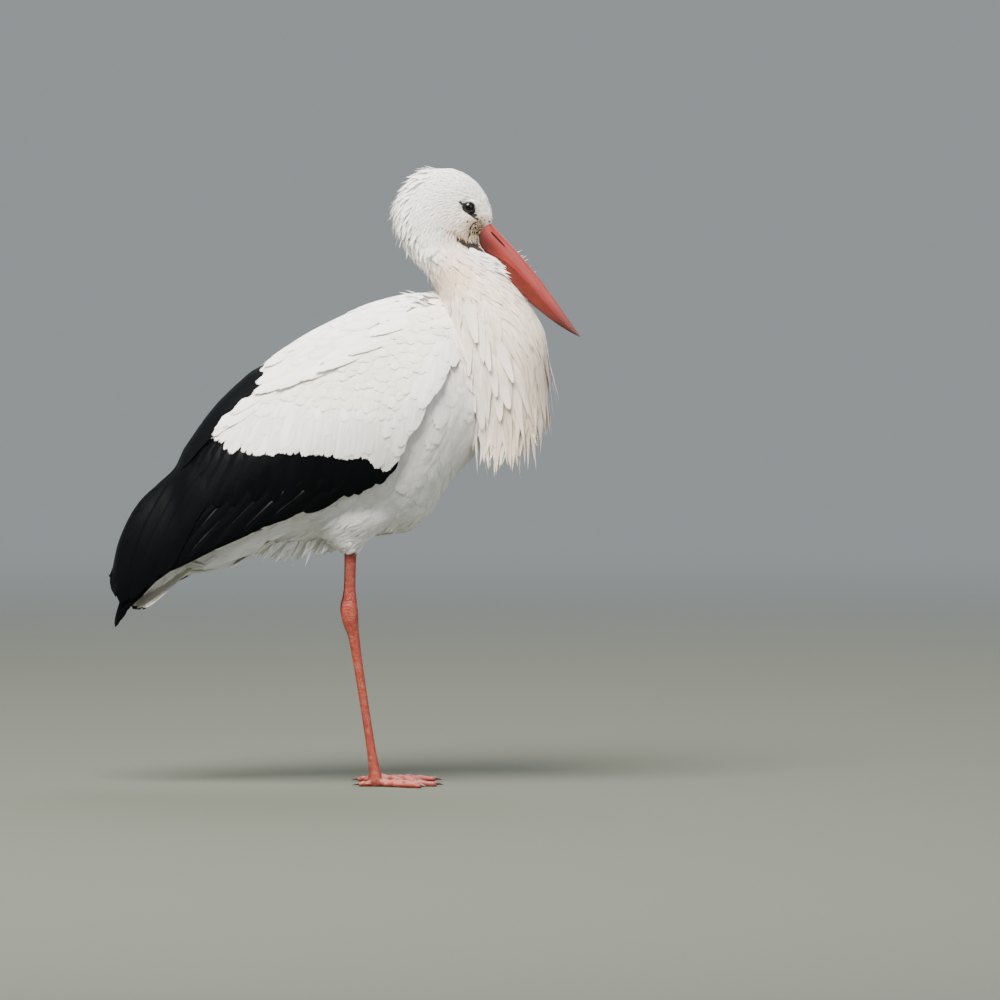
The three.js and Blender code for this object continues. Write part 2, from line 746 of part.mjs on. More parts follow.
function buildLeg(sideName, lag) {
  const place = (solid) => (sideName === "left" ? solid : mirrored(solid));
  const foot = new THREE.Vector3(FOOT.x - lag, HALF_STANCE, 0);
  const upright = (dx, dz) => [dx, 0, dz];

  const shin = largest(legPart(SHIN_RINGS, lag).subtract(trunkSpace));
  const shinSpace = legPart(SHIN_RINGS, lag, GAP);
  const thigh = largest(thighSolid().subtract(trunkSpace).subtract(wingSpace).subtract(shinSpace));
  const ankle = largest(legPart(ANKLE_RINGS, lag).subtract(shiftedCopies(shin, upright)));
  const shankAndPalm = legPart(SHANK_RINGS, lag).add(palmBall(foot)).intersect(aboveFloor);
  const shank = largest(shankAndPalm.subtract(shiftedCopies(ankle, upright)));
  addNode(`thigh_${sideName}`, place(thigh), whiteFeather);
  addNode(`shin_${sideName}`, place(shin), redSkin);
  addNode(`ankle_${sideName}`, place(ankle), redSkin);
  addNode(`shank_${sideName}`, place(shank), redSkin);

  let others = palmBall(foot, GAP).add(legPart(SHANK_RINGS, lag, GAP));
  for (const toe of TOES) {
    const digit = largest(digitSolid(toe, foot).subtract(others));
    const digitSpace = digitSolid(toe, foot, GAP);
    const claw = largest(clawSolid(toe, foot).subtract(digitSpace));
    addNode(`toe_${sideName}_${toe.name}`, place(digit), redSkin);
    addNode(`claw_${sideName}_${toe.name}`, place(claw), darkClaw);
    others = others.add(digitSpace);
  }
}
buildLeg("right", 0);
buildLeg("left", FAR_LEG_LAG);

// The trunk is left whole, because every piece that meets it has been cut back to it.
addNode("trunk", trunk, whiteFeather);

export default stork;
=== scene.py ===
"""A white stork at rest, life size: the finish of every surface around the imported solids.

One skin lies under the whole coat. Feathers are thin vanes laid on it root by root, each with its own tint.
The long feathers of wings and tail are laid one by one over the outline that both folded wings give.
Millimetres are used throughout and turned to metres when a mesh is made. +X towards the bill, +Y to the
bird's left, +Z up.
"""
import json
import math

import bmesh
import bpy
import numpy as np
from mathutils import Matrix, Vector
from mathutils.bvhtree import BVHTree

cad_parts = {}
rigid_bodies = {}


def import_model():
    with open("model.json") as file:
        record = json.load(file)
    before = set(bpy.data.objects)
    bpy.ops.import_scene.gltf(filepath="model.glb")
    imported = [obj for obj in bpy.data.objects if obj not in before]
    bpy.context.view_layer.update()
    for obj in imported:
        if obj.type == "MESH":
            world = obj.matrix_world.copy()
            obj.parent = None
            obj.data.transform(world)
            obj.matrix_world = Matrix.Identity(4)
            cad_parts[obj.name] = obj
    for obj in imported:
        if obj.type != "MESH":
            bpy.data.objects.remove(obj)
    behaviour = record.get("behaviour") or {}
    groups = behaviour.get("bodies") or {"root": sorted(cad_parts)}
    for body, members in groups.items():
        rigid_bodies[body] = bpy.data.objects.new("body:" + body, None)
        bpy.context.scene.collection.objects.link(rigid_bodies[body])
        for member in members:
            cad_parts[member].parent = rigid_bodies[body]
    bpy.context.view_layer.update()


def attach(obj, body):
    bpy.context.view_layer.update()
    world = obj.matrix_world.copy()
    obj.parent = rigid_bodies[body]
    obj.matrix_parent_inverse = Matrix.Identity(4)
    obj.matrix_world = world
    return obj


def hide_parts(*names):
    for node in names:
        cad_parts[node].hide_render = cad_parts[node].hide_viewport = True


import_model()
MM = 0.001
BODY = "root"
SEED = 20
SIDES = ((-1, "right"), (1, "left"))

# ==== Driving dimensions, as the solids have them ====
HALF_LENGTH = 293.7
HALF_STANCE = 36
FAR_LEG_LAG = 2
LEGS = ((-1, 0, "right"), (1, FAR_LEG_LAG, "left"))  # side, how far back it stands, name
BILL_LENGTH = 170
BILL_SLOPE = math.radians(51.1)
BILL_TIP = np.array([HALF_LENGTH, 560.5])
BILL_ROOT = 26
NOSTRIL = {"from": -2, "length": 26, "turn": 0.927, "half": 0.065, "depth": 2.6}
EYE = {"x": 154, "z": 722.5, "radius": 8.2, "bulge": 3.4}
ROOF_POWER = 1.25
FOOT = {"x": 38, "z": 11}
TOES = [
    {"name": "inner", "length": 66, "turn": -24, "radius": 4.6},
    {"name": "middle", "length": 82, "turn": 2, "radius": 5.0},
    {"name": "outer", "length": 70, "turn": 28, "radius": 4.6},
    {"name": "hind", "length": 27, "turn": 172, "radius": 4.4},
]
CLAW_LENGTH = 11

# Level slices of the head, neck and plumed breast: height, rearmost x, foremost x, half width, front taper.
NECK_SLICES = [
    [399, 180, 209, 16, 0], [421, 166, 226, 46, 0], [451, 150, 246, 64, 0], [481, 138, 256, 73, 0.02],
    [511, 128, 257, 75, 0.04], [556, 120, 254, 71, 0.08], [586, 116, 242, 65, 0.12],
    [616, 112, 220, 55, 0.18], [631, 106, 208, 48, 0.24], [646, 96, 196, 42, 0.3],
    [661, 82, 183, 38, 0.36], [676, 71, 174, 35, 0.4], [691, 64, 180, 33.5, 0.42],
    [706, 61, 186, 32.5, 0.4], [721, 61, 183, 31, 0.36], [736, 67, 177, 28.5, 0.3],
    [751, 76, 166, 24, 0.2], [763, 88, 150, 16, 0.1], [771.5, 108, 128, 5, 0],
]
# Upright slices of the trunk: x, top, bottom, half width, height of the widest place.
TRUNK_SLICES = [
    [-258, 262, 232, 8, 247], [-235, 300, 238, 20, 266], [-200, 362, 258, 31, 305],
    [-160, 420, 285, 43, 345], [-120, 472, 299, 57, 380], [-80, 512, 297, 70, 405],
    [-40, 543, 296, 82, 425], [0, 568, 303, 90, 440], [40, 588, 310, 94, 455],
    [80, 600, 315, 94, 465], [104, 603, 335, 91, 472], [125, 600, 368, 84, 482],
    [150, 588, 397, 70, 490], [172, 560, 421, 50, 492], [188, 525, 452, 24, 490],
]
# Upright slices of the outline that both folded wings give: x, top, bottom, half width, height of the widest.
WING_SLICES = [
    [-HALF_LENGTH, 262, 178, 13, 222], [-284, 305, 150, 22, 240], [-262, 348, 140, 34, 262],
    [-235, 375, 146, 45, 285], [-212, 397, 158, 53, 305], [-200, 422, 165, 57, 318],
    [-160, 476, 195, 70, 352], [-120, 514, 225, 82, 385], [-80, 546, 252, 92, 410], [-40, 571, 275, 99, 430],
    [0, 591, 290, 104, 445], [40, 608, 302, 106, 458], [80, 617, 316, 104, 470],
    [104, 619, 335, 100, 478], [125, 615, 372, 92, 486], [145, 600, 400, 78, 492],
]
# Level slices of a thigh's feathering: height, x of the middle, half length, half width, y of the middle.
THIGH_SLICES = [
    [290, 6, 8.5, 7.5, HALF_STANCE], [298, 5, 13, 10, HALF_STANCE + 1], [312, 2, 34, 20, HALF_STANCE + 2],
    [328, 5, 52, 28, HALF_STANCE + 3], [344, 8, 60, 31, HALF_STANCE + 3], [362, 10, 54, 27, HALF_STANCE],
    [380, 12, 38, 18, HALF_STANCE - 4],
]
# The form that the long breast plumes hang over, which goes on below the breast itself.
DRAPE_SLICES = [
    [350, 160, 262, 56, 0], [400, 150, 262, 64, 0], [440, 144, 262, 70, 0.02], [481, 138, 258, 74, 0.02],
    [511, 130, 257, 75, 0.04], [556, 121, 253, 71, 0.08], [586, 116, 241, 65, 0.12],
    [616, 112, 219, 55, 0.18], [646, 96, 195, 42, 0.3], [676, 71, 173, 35, 0.4], [706, 61, 185, 32, 0.4],
]

# ==== Small tools ====
def read_table(rows):
    """A smooth reading of a slice table: keys in, the rows' other values out."""
    table = np.array(rows, float)
    keys, values = table[:, 0], table[:, 1:]
    before = np.maximum(np.arange(len(keys)) - 1, 0)
    after = np.minimum(np.arange(len(keys)) + 1, len(keys) - 1)
    slopes = (values[after] - values[before]) / (keys[after] - keys[before])[:, None]

    def read(key):
        key = np.atleast_1d(np.asarray(key, float))
        i = np.clip(np.searchsorted(keys, key), 1, len(keys) - 1)
        span = (keys[i] - keys[i - 1])[:, None]
        t = np.clip((key - keys[i - 1])[:, None] / span, 0, 1)
        t2, t3 = t * t, t * t * t
        low = (2 * t3 - 3 * t2 + 1) * values[i - 1] + (t3 - 2 * t2 + t) * span * slopes[i - 1]
        return low + (3 * t2 - 2 * t3) * values[i] + (t3 - t2) * span * slopes[i]

    return read


def ramp(value, low, high):
    """0 below low, 1 above high, smooth between them."""
    t = np.clip((np.asarray(value, float) - low) / (high - low), 0, 1)
    return t * t * (3 - 2 * t)


def stacked(*values):
    """Values side by side: one row for each place."""
    return np.stack(values, axis=-1)


def seeded(number):
    """Random draws that come out the same each time."""
    return np.random.default_rng(SEED + number)


def unit(vectors):
    length = np.linalg.norm(vectors, axis=-1, keepdims=True)
    return vectors / np.maximum(length, 1e-9)


def eased(low, high, count):
    """Steps from low to high, closer together near both ends."""
    even = np.linspace(0, 1, count)
    return low + (high - low) * (even + (1 - np.cos(np.pi * even)) / 2) / 2


def flatten_onto(vectors, normals):
    """Vectors laid into the planes across their normals, at unit length."""
    return unit(vectors - np.sum(vectors * normals, axis=-1, keepdims=True) * normals)


def grid_faces(rows, columns, closed=False):
    """The quads between rows of points, each row with the same number of columns."""
    across = columns if closed else columns - 1
    i, j = np.meshgrid(np.arange(rows - 1), np.arange(across), indexing="ij")
    right = (j + 1) % columns
    quads = [i * columns + j, i * columns + right, (i + 1) * columns + right, (i + 1) * columns + j]
    return np.stack(quads, axis=-1).reshape(-1, 4)


def new_mesh(name, points, faces, smooth=True):
    """An object from points in millimetres and a list of faces."""
    mesh = bpy.data.meshes.new(name)
    mesh.from_pydata((np.asarray(points) * MM).tolist(), [], [list(map(int, face)) for face in faces])
    if smooth and len(mesh.polygons):
        mesh.polygons.foreach_set("use_smooth", np.ones(len(mesh.polygons), bool))
    mesh.update()
    thing = bpy.data.objects.new(name, mesh)
    bpy.context.scene.collection.objects.link(thing)
    return thing


def closed_loft(rings):
    """Points and faces of a closed body through rings of points."""
    rings = np.asarray(rings, float)
    count, around, _ = rings.shape
    points = np.concatenate([rings.reshape(-1, 3), [rings[0].mean(axis=0)], [rings[-1].mean(axis=0)]])
    faces = [list(face) for face in grid_faces(count, around, closed=True)]
    start, end = count * around, count * around + 1
    for j in range(around):
        right = (j + 1) % around
        faces.append([right, j, start])
        faces.append([(count - 1) * around + j, (count - 1) * around + right, end])
    return points, faces


def joined(parts):
    """Several (points, faces) bodies as one."""
    points, faces, shift = [], [], 0
    for part_points, part_faces in parts:
        points.append(part_points)
        faces.extend([[corner + shift for corner in face] for face in part_faces])
        shift += len(part_points)
    return np.concatenate(points), faces


def add_modifier(thing, kind, **settings):
    modifier = thing.modifiers.new(kind.lower(), kind)
    for name, value in settings.items():
        setattr(modifier, name, value)
    return modifier


def applied(thing):
    """The object with its modifiers made part of its mesh."""
    depsgraph = bpy.context.evaluated_depsgraph_get()
    mesh = bpy.data.meshes.new_from_object(thing.evaluated_get(depsgraph), depsgraph=depsgraph)
    thing.modifiers.clear()
    old = thing.data
    thing.data = mesh
    mesh.name = thing.name
    bpy.data.meshes.remove(old)
    return thing


def remove(*things):
    for thing in things:
        data = thing.data
        bpy.data.objects.remove(thing)
        if data.users == 0:
            bpy.data.meshes.remove(data)


def points_of(thing):
    """A mesh's vertices, in millimetres."""
    flat = np.empty(len(thing.data.vertices) * 3)
    thing.data.vertices.foreach_get("co", flat)
    return flat.reshape(-1, 3) / MM


def set_points(thing, points):
    thing.data.vertices.foreach_set("co", (points * MM).ravel())
    thing.data.update()


def normals_of(thing):
    flat = np.empty(len(thing.data.vertices) * 3)
    thing.data.vertex_normals.foreach_get("vector", flat)
    return flat.reshape(-1, 3)


def set_attribute(thing, name, kind, values, domain="POINT"):
    old = thing.data.attributes.get(name)
    if old:
        thing.data.attributes.remove(old)
    attribute = thing.data.attributes.new(name, kind, domain)
    field = {"FLOAT": "value", "INT": "value", "FLOAT_VECTOR": "vector", "FLOAT2": "vector"}
    attribute.data.foreach_set(field.get(kind, "color"), np.ascontiguousarray(values).ravel())


# ==== The forms that everything lies on ====
read_neck = read_table(NECK_SLICES)
read_drape = read_table(DRAPE_SLICES)
read_trunk = read_table(TRUNK_SLICES)
read_wing = read_table(WING_SLICES)
read_thigh = read_table(THIGH_SLICES)

# How deep the coat lies over the neck's skin at each height, thick where the plumes hang.
COAT_OVER_NECK = [[440, 20], [480, 16], [540, 13], [590, 9], [630, 5.5], [670, 3.4], [700, 2.0], [772, 1.8]]
COAT_OVER_TRUNK = 6
COAT_OVER_WING = 7.5

# The lower edge of the folded wing in side view: x, z.
WING_EDGE = np.array([
    [-293, 197], [-283, 196], [-264, 226], [-228, 257], [-187, 281], [-139, 303], [-92, 323], [-44, 341],
    [4, 366], [28, 370], [47, 381], [58, 390], [71, 415], [83, 446], [99, 483], [116, 521], [126, 562],
    [140, 600],
])


def wing_edge(x):
    return np.interp(x, *WING_EDGE.T)


def neck_ring(z, angle, inset=0, read=read_neck):
    """Points on level rings: angle 0 faces the front, 90 degrees the bird's left."""
    rear, front, half, taper = read(z).T
    ahead, side = np.cos(angle), np.sin(angle)
    reach = np.maximum((front - rear) / 2 - inset, 0.6)
    width = np.maximum(half - inset, 0.4)
    return stacked((rear + front) / 2 + reach * ahead, width * side * (1 - taper * ahead), z)


def upright_ring(read, x, angle, inset=0, roof=1.0):
    """Points on upright rings: angle 0 is the top, positive on the bird's left."""
    top, bottom, half, wide = read(x).T
    up, side = np.cos(angle), np.sin(angle)
    power = np.where(up > 0, roof, 1.0)
    reach = np.maximum(np.where(up > 0, top - wide, wide - bottom) - inset, 0.5)
    width = np.maximum(half - inset, 0.5)
    y = width * np.sign(side) * np.abs(side) ** power
    z = wide + reach * np.sign(up) * np.abs(up) ** power
    return stacked(x * np.ones_like(z), y, z)


def wing_point(x, angle, inset=0.0):
    return upright_ring(read_wing, x, angle, inset, ROOF_POWER)


def wing_angle(x, z):
    """The angle from the ridge at which the folded wing's outline has height z."""
    top, bottom, _, wide = read_wing(x).T
    above = np.clip((z - wide) / (top - wide), 0, 1) ** (1 / ROOF_POWER)
    below = np.clip((wide - z) / (wide - bottom), 0, 1)
    return np.where(z > wide, np.arccos(above), np.pi / 2 + np.arcsin(below))


def wing_normal(x, angle):
    step = 0.02
    along = wing_point(x + 1, angle) - wing_point(x - 1, angle)
    around = wing_point(x, angle + step) - wing_point(x, angle - step)
    normal = unit(np.cross(along, around))
    outward = np.sign(normal[..., 1:2]) == np.sign(np.sin(angle))[..., None]
    return np.where(outward, normal, -normal)


def ring_angles(count):
    return np.linspace(0, 2 * np.pi, count, endpoint=False)


def neck_volume():
    keys = eased(446, 768.5, 60)
    depth = np.interp(keys, *np.array(COAT_OVER_NECK).T)
    angle = ring_angles(48)
    rings = [neck_ring(np.full_like(angle, z), angle, inset) for z, inset in zip(keys, depth)]
    return closed_loft(rings)


def trunk_volume():
    angle = ring_angles(48)
    keys = eased(-254, 182, 60)
    rings = [upright_ring(read_trunk, np.full_like(angle, x), angle, COAT_OVER_TRUNK * ramp(x, -270, -200))
             for x in keys]
    return closed_loft(rings)


def wing_volume():
    """The flesh and the hidden layers of both folded wings, tucked in under the lower edge."""
    angle = ring_angles(72)
    rings = []
    for x in eased(-176, 116, 60):
        inset = COAT_OVER_WING + 9 * (1 - ramp(x, -176, -140)) + 12 * ramp(x, 84, 116)
        ring = wing_point(np.full_like(angle, x), angle, inset)
        tuck = 1 - ramp(ring[:, 2], wing_edge(x) + 4, wing_edge(x) + 26)
        ring[:, 1] *= 1 - 0.34 * tuck
        ring[:, 2] = np.maximum(ring[:, 2], 330 - 60 * ramp(-x, 40, 176))
        rings.append(ring)
    return closed_loft(rings)


def thigh_volume(side):
    angle = ring_angles(32)
    rings = []
    for z in eased(291, 378, 16):
        x, length, width, y = read_thigh(z)[0]
        inset = 7 * ramp(z, 292, 318)
        rings.append(stacked(
            x + (length - inset) * np.cos(angle), side * (y + (width - inset) * np.sin(angle)),
            np.full_like(angle, z)))
    return closed_loft(rings)


def built_skin(name, volumes, voxel, rounds):
    """Overlapping bodies turned into one smooth skin."""
    skin = new_mesh(name, *joined(volumes))
    add_modifier(skin, "REMESH", mode="VOXEL", voxel_size=voxel * MM, use_smooth_shade=True)
    add_modifier(skin, "SMOOTH", factor=0.5, iterations=rounds)
    return applied(skin)


def drawn_back(skin, volume, above):
    """Skin above a height put back on the form that smoothing drew it in from."""
    corners, faces = volume
    tree = BVHTree.FromPolygons(corners.tolist(), [list(map(int, face)) for face in faces])
    points = points_of(skin)
    for i in np.flatnonzero(points[:, 2] > above):
        spot = np.array(tree.find_nearest(Vector(points[i]))[0])
        points[i] += (spot - points[i]) * 0.9 * ramp(points[i, 2], above, above + 20)
    set_points(skin, points)


# ==== Legs ====
# Along the bare leg: height, x, half width across, half depth.
LEG_SLICES = [
    [0, 38.6, 6.5, 6.8], [6, 38.4, 7.8, 8.4], [12, 38, 7.2, 7.6], [26, 35.6, 5.6, 6.2], [60, 30.3, 4.5, 5.5],
    [115, 21.8, 4.3, 5.5], [165, 14.1, 4.8, 6.2], [190, 10.2, 5.9, 7.4], [200, 7.8, 7.2, 9.0],
    [208, 6.4, 8.3, 10.4], [216, 5.3, 8.7, 10.9], [224, 5.4, 8.3, 10.3], [233, 6.0, 6.9, 8.5],
    [246, 6.1, 5.6, 7.0], [270, 6.5, 5.4, 6.8], [296, 7, 6, 7.4], [336, 9, 7, 9],
]
KNUCKLES = [0, 0.12, 0.3, 0.42, 0.5, 0.64, 0.72, 0.86, 0.96, 1.0]
KNUCKLE_SWELL = [1.0, 1.0, 0.82, 1.0, 0.8, 0.76, 0.92, 0.72, 0.66, 0.34]


def toe_frame(toe, side, lag):
    turn = math.radians(toe["turn"])
    heading = np.array([math.cos(turn), side * math.sin(turn), 0])
    foot = np.array([FOOT["x"] - lag, side * HALF_STANCE, 0])
    return foot, heading, np.array([-heading[1], heading[0], 0])


def limb(path, halves, side, around=20):
    """Points and faces of a limb: rings across a path, half widths along side and across it."""
    path, halves = np.asarray(path, float), np.asarray(halves, float)
    along = unit(np.gradient(path, axis=0))
    side = np.broadcast_to(np.asarray(side, float), path.shape)
    across = unit(np.cross(side, along))
    angle = ring_angles(around)
    rings = (path[:, None] + side[:, None] * (halves[:, :1] * np.cos(angle))[..., None]
             + across[:, None] * (halves[:, 1:] * np.sin(angle))[..., None])
    return closed_loft(rings)


def leg_volumes(side, lag):
    read = read_table(LEG_SLICES)
    heights = eased(0, 334, 90)
    x, width, depth = read(heights).T
    path = stacked(x - lag, np.full_like(x, side * HALF_STANCE), heights)
    volumes = [limb(path, stacked(width, depth), [0, 1, 0], 28)]
    read_swell = read_table(stacked(KNUCKLES, KNUCKLE_SWELL))
    for toe in TOES:
        foot, heading, across = toe_frame(toe, side, lag)
        share = np.linspace(0, 1, 36)
        bare = toe["length"] - CLAW_LENGTH / 2
        swell = read_swell(share)[:, 0] * toe["radius"]
        height = swell * 0.8 + 2.4 * (1 - ramp(share, 0, 0.25))
        path = foot + heading * (share * bare)[:, None] + np.array([0, 0, 1]) * height[:, None]
        volumes.append(limb(path, stacked(swell, swell), across))
    return volumes


def claw_volume(toe, side, lag):
    """A curved claw, round above and narrowed to a keel below."""
    foot, heading, across = toe_frame(toe, side, lag)
    share = np.linspace(0, 1, 14)
    root = toe["length"] - CLAW_LENGTH * 0.8
    radius = toe["radius"] * 0.5 * (1 - share ** 1.6) + 0.12
    height = toe["radius"] * 0.82 + 0.8 * share - 3.0 * share ** 2
    path = foot + heading * (root + CLAW_LENGTH * 1.05 * share)[:, None]
    path[:, 2] = np.maximum(height, radius + 0.02)
    return limb(path, stacked(radius * 0.8, radius), across, 14)


# ==== Bill ====
BILL_ALONG = np.array([math.cos(BILL_SLOPE), -math.sin(BILL_SLOPE)])
BILL_DOWN = np.array([-math.sin(BILL_SLOPE), -math.cos(BILL_SLOPE)])
BILL_BASE = BILL_TIP - BILL_ALONG * BILL_LENGTH
# Along the straight line from the forehead to the tip: depth below it, half width, the ridge's rise above it,
# and the mouth line's place as a share of the whole depth.
BILL_SECTIONS = [
    [-BILL_ROOT, 27, 9, 1, 0.93], [0, 33.5, 11.5, 2.3, 0.9], [22, 32.6, 10.7, 4.2, 0.7],
    [44, 30.5, 9.6, 5.2, 0.54], [80, 26, 7.9, 5.5, 0.48], [110, 20.5, 6.2, 4, 0.48],
    [135, 14.5, 4.4, 2.2, 0.49], [155, 7.8, 2.7, 0.8, 0.5], [166, 3, 1.3, 0.2, 0.5],
    [BILL_LENGTH, 0.8, 0.5, 0, 0.5],
]
read_bill = read_table(BILL_SECTIONS)
LIP_GAP = 0.36  # between the two halves
LIP_SHARE = 0.2  # of the points round each half, which close it along the mouth


def bill_place(along, down, y):
    """A point given by its way along the ridge, its depth below it and its side."""
    x = BILL_BASE[0] + BILL_ALONG[0] * along + BILL_DOWN[0] * down
    z = BILL_BASE[1] + BILL_ALONG[1] * along + BILL_DOWN[1] * down
    return stacked(x, y * np.ones_like(x), z)


def mandible(upper):
    """One half of the bill: the roof above the mouth line, or the floor below it."""
    keys = eased(-BILL_ROOT, BILL_LENGTH, 170)
    below, half, arch, mouths = read_bill(keys).T
    depth = below + arch
    lip = LIP_GAP / 2 / np.maximum(depth, 1)
    around = 100
    share, open_share = np.linspace(0, 1, around, endpoint=False), 1 - LIP_SHARE
    turns = np.linspace(-1, 1, 400)
    rings = []
    for s, deep, wide, gap, rise, mouth in zip(keys, depth, half, lip, arch, mouths):
        mouth += -gap if upper else gap
        edge = math.acos(np.clip(1 - 2 * mouth, -1, 1))  # the angle from the ridge to the mouth line
        if upper:
            # Closer together at the nostrils, so that the slits have clean edges.
            crowd = np.cumsum(1 + 5 * np.exp(-((np.abs(turns * edge) - NOSTRIL["turn"]) / 0.11) ** 2))
            crowd = (crowd - crowd[0]) / (crowd[-1] - crowd[0])
            angle = edge * np.interp(np.clip(share / open_share, 0, 1), crowd, turns)
        else:
            angle = edge + 2 * (math.pi - edge) * np.clip(share / open_share, 0, 1)
        down = deep * (1 - np.cos(angle)) / 2
        y = wide * np.sin(angle)
        flat = share >= open_share
        back = (share[flat] - open_share) / LIP_SHARE
        edge_y = wide * math.sin(edge)
        start, stop = (edge_y, -edge_y) if upper else (-edge_y, edge_y)
        y[flat] = start + (stop - start) * back
        down[flat] = deep * mouth
        if upper:
            # A long shallow furrow from the nostril forward, and a flatter side below the ridge.
            side = np.abs(angle)
            furrow = np.exp(-((side - 0.95) / 0.16) ** 2) * ramp(s, 16, 30) * (1 - ramp(s, 70, 120))
            slit = NOSTRIL["depth"] / wide * nostril_shade(s, side)
            y[~flat] *= (1 - 0.08 * furrow - slit)[~flat]
        else:
            side = np.abs(angle - math.pi)
            groove = np.exp(-((side - 1.2) / 0.2) ** 2) * ramp(s, 20, 40) * (1 - ramp(s, 110, 150))
            y[~flat] *= (1 - 0.07 * groove)[~flat]
        rings.append(bill_place(np.full(around, s), down - rise, y))
    return closed_loft(rings)


def nostril_shade(along, turn):
    """1 inside the nostril's slit, read along the ridge and by the turn from it."""
    share = np.clip((along - NOSTRIL["from"]) / NOSTRIL["length"], 0, 1)
    half = NOSTRIL["half"] * np.sqrt(1 - (2 * share - 1) ** 2) * (1.3 - 0.7 * share) + 0.002
    return (1 - ramp(np.abs(turn - NOSTRIL["turn"]) / half, 0.6, 1.3)) * (share > 0) * (share < 1)


# ==== Head: eyes, lids and the bare skin round them ====
EYE_OPENING = (6.3, 5.5)  # half length and half height of the gap between the lids
BARE_ROUND_EYE = (9.0, 7.6)  # half length and half height of the black skin


def head_half_width(x, z):
    rear, front, half, taper = read_neck(z).T
    ahead = np.clip((x - (rear + front) / 2) / ((front - rear) / 2), -0.98, 0.98)
    return half * np.sqrt(1 - ahead ** 2) * (1 - taper * ahead)


EYE_CENTRE = np.array([EYE["x"], head_half_width(EYE["x"], EYE["z"])[0] + EYE["bulge"] - EYE["radius"],
                       EYE["z"]])


def round_eye(points):
    """How far each point lies from the eye's middle in side view: forwards, upwards."""
    return points[:, 0] - EYE["x"], points[:, 2] - EYE["z"]


def bare_skin(points):
    """1 on the black skin: round the eye, drawn out to a point behind it and down towards the bill."""
    ahead, up = round_eye(points)
    ring = np.hypot(ahead / BARE_ROUND_EYE[0], up / BARE_ROUND_EYE[1])
    behind = tapered_streak(ahead, up, (-6, 2.5), (-15.5, 9.5), 2.6)
    before = tapered_streak(ahead, up, (1, -2), (12.5, -18), 6.6)
    on_side = ramp(np.abs(points[:, 1]), 6, 10)
    return np.maximum.reduce([1 - ramp(ring, 0.9, 1.08), behind, before]) * on_side


def tapered_streak(ahead, up, start, end, half):
    """1 inside a streak that narrows from its start to its end."""
    run = np.array(end, float) - start
    length = np.hypot(*run)
    run /= length
    along = (ahead - start[0]) * run[0] + (up - start[1]) * run[1]
    off = np.abs((ahead - start[0]) * run[1] - (up - start[1]) * run[0])
    share = np.clip(along / length, 0, 1)
    width = half * (1 - share) ** 0.8 + 0.05
    return (1 - ramp(off / width, 0.8, 1.2)) * (along > -half) * (along < length)


def refine_round_eyes(skin):
    """Smaller faces round each eye, so that the lids have somewhere to be."""
    for reach in (21, 17):
        form = bmesh.new()
        form.from_mesh(skin.data)
        near = []
        for edge in form.edges:
            middle = (edge.verts[0].co + edge.verts[1].co) / 2 / MM
            distance = math.hypot(middle.x - EYE["x"], middle.z - EYE["z"])
            if distance < reach and abs(middle.y) > 8:
                near.append(edge)
        bmesh.ops.subdivide_edges(form, edges=near, cuts=1, use_grid_fill=True, smooth=0.6)
        bmesh.ops.triangulate(form, faces=[face for face in form.faces if len(face.verts) > 4])
        form.to_mesh(skin.data)
        form.free()


def shape_lids(points):
    """Skin drawn round each eyeball: a socket behind it, and a raised rim that hugs it."""
    ahead, up = round_eye(points)
    side = np.sign(points[:, 1])
    ring = np.hypot(ahead / EYE_OPENING[0], up / EYE_OPENING[1])
    snapped = np.where((ring > 0.86) & (ring < 0.98), 0.92, ring)
    snapped = np.where((ring >= 0.98) & (ring < 1.12), 1.05, snapped)
    drawn = snapped / np.maximum(ring, 0.01)  # points beside the rim go onto it, so that it runs true
    ring, distance = snapped, np.hypot(ahead, up) * drawn
    ball = np.sqrt(np.maximum(EYE["radius"] ** 2 - distance ** 2, 0)) + EYE_CENTRE[1]
    near = (distance < 20) & (np.abs(points[:, 1]) > 8)
    depth = np.abs(points[:, 1])
    inside = 1 - ramp(ring, 0.93, 1.0)
    rim = np.exp(-((ring - 1.1) / 0.1) ** 2)
    hug = 1 - ramp(ring, 1.25, 2.3)
    wanted = depth * (1 - hug) + np.maximum(ball + 0.35, depth - 2.4) * hug
    wanted += 0.55 * rim
    wanted = np.where(inside > 0, wanted * (1 - inside) + (ball - 2.6) * inside, wanted)
    moved = points.copy()
    moved[near, 1] = (side * wanted)[near]
    for axis, middle in ((0, EYE["x"]), (2, EYE["z"])):
        moved[near, axis] = middle + ((points[:, axis] - middle) * drawn)[near]
    return moved


def eyeball(side):
    """An eye with a clear swell over the pupil."""
    form = bmesh.new()
    bmesh.ops.create_uvsphere(form, u_segments=40, v_segments=28, radius=1)
    points = np.array([vertex.co[:] for vertex in form.verts])
    faces = [[vertex.index for vertex in face.verts] for face in form.faces]
    form.free()
    points = points[:, [0, 2, 1]] * [1, side, 1]
    swell = 1 + 0.035 * ramp(points[:, 1] * side, 0.72, 0.95)
    points = points * (EYE["radius"] * swell)[:, None]
    if side > 0:
        faces = [face[::-1] for face in faces]
    return points + EYE_CENTRE * [1, side, 1], faces


# ==== Materials ====
def linear(colour):
    """An sRGB hex colour as linear values."""
    parts = [int(colour[i : i + 2], 16) / 255 for i in (1, 3, 5)]
    return np.array([part / 12.92 if part <= 0.04045 else ((part + 0.055) / 1.055) ** 2.4 for part in parts])


def rgba(colour):
    return (*linear(colour), 1.0)


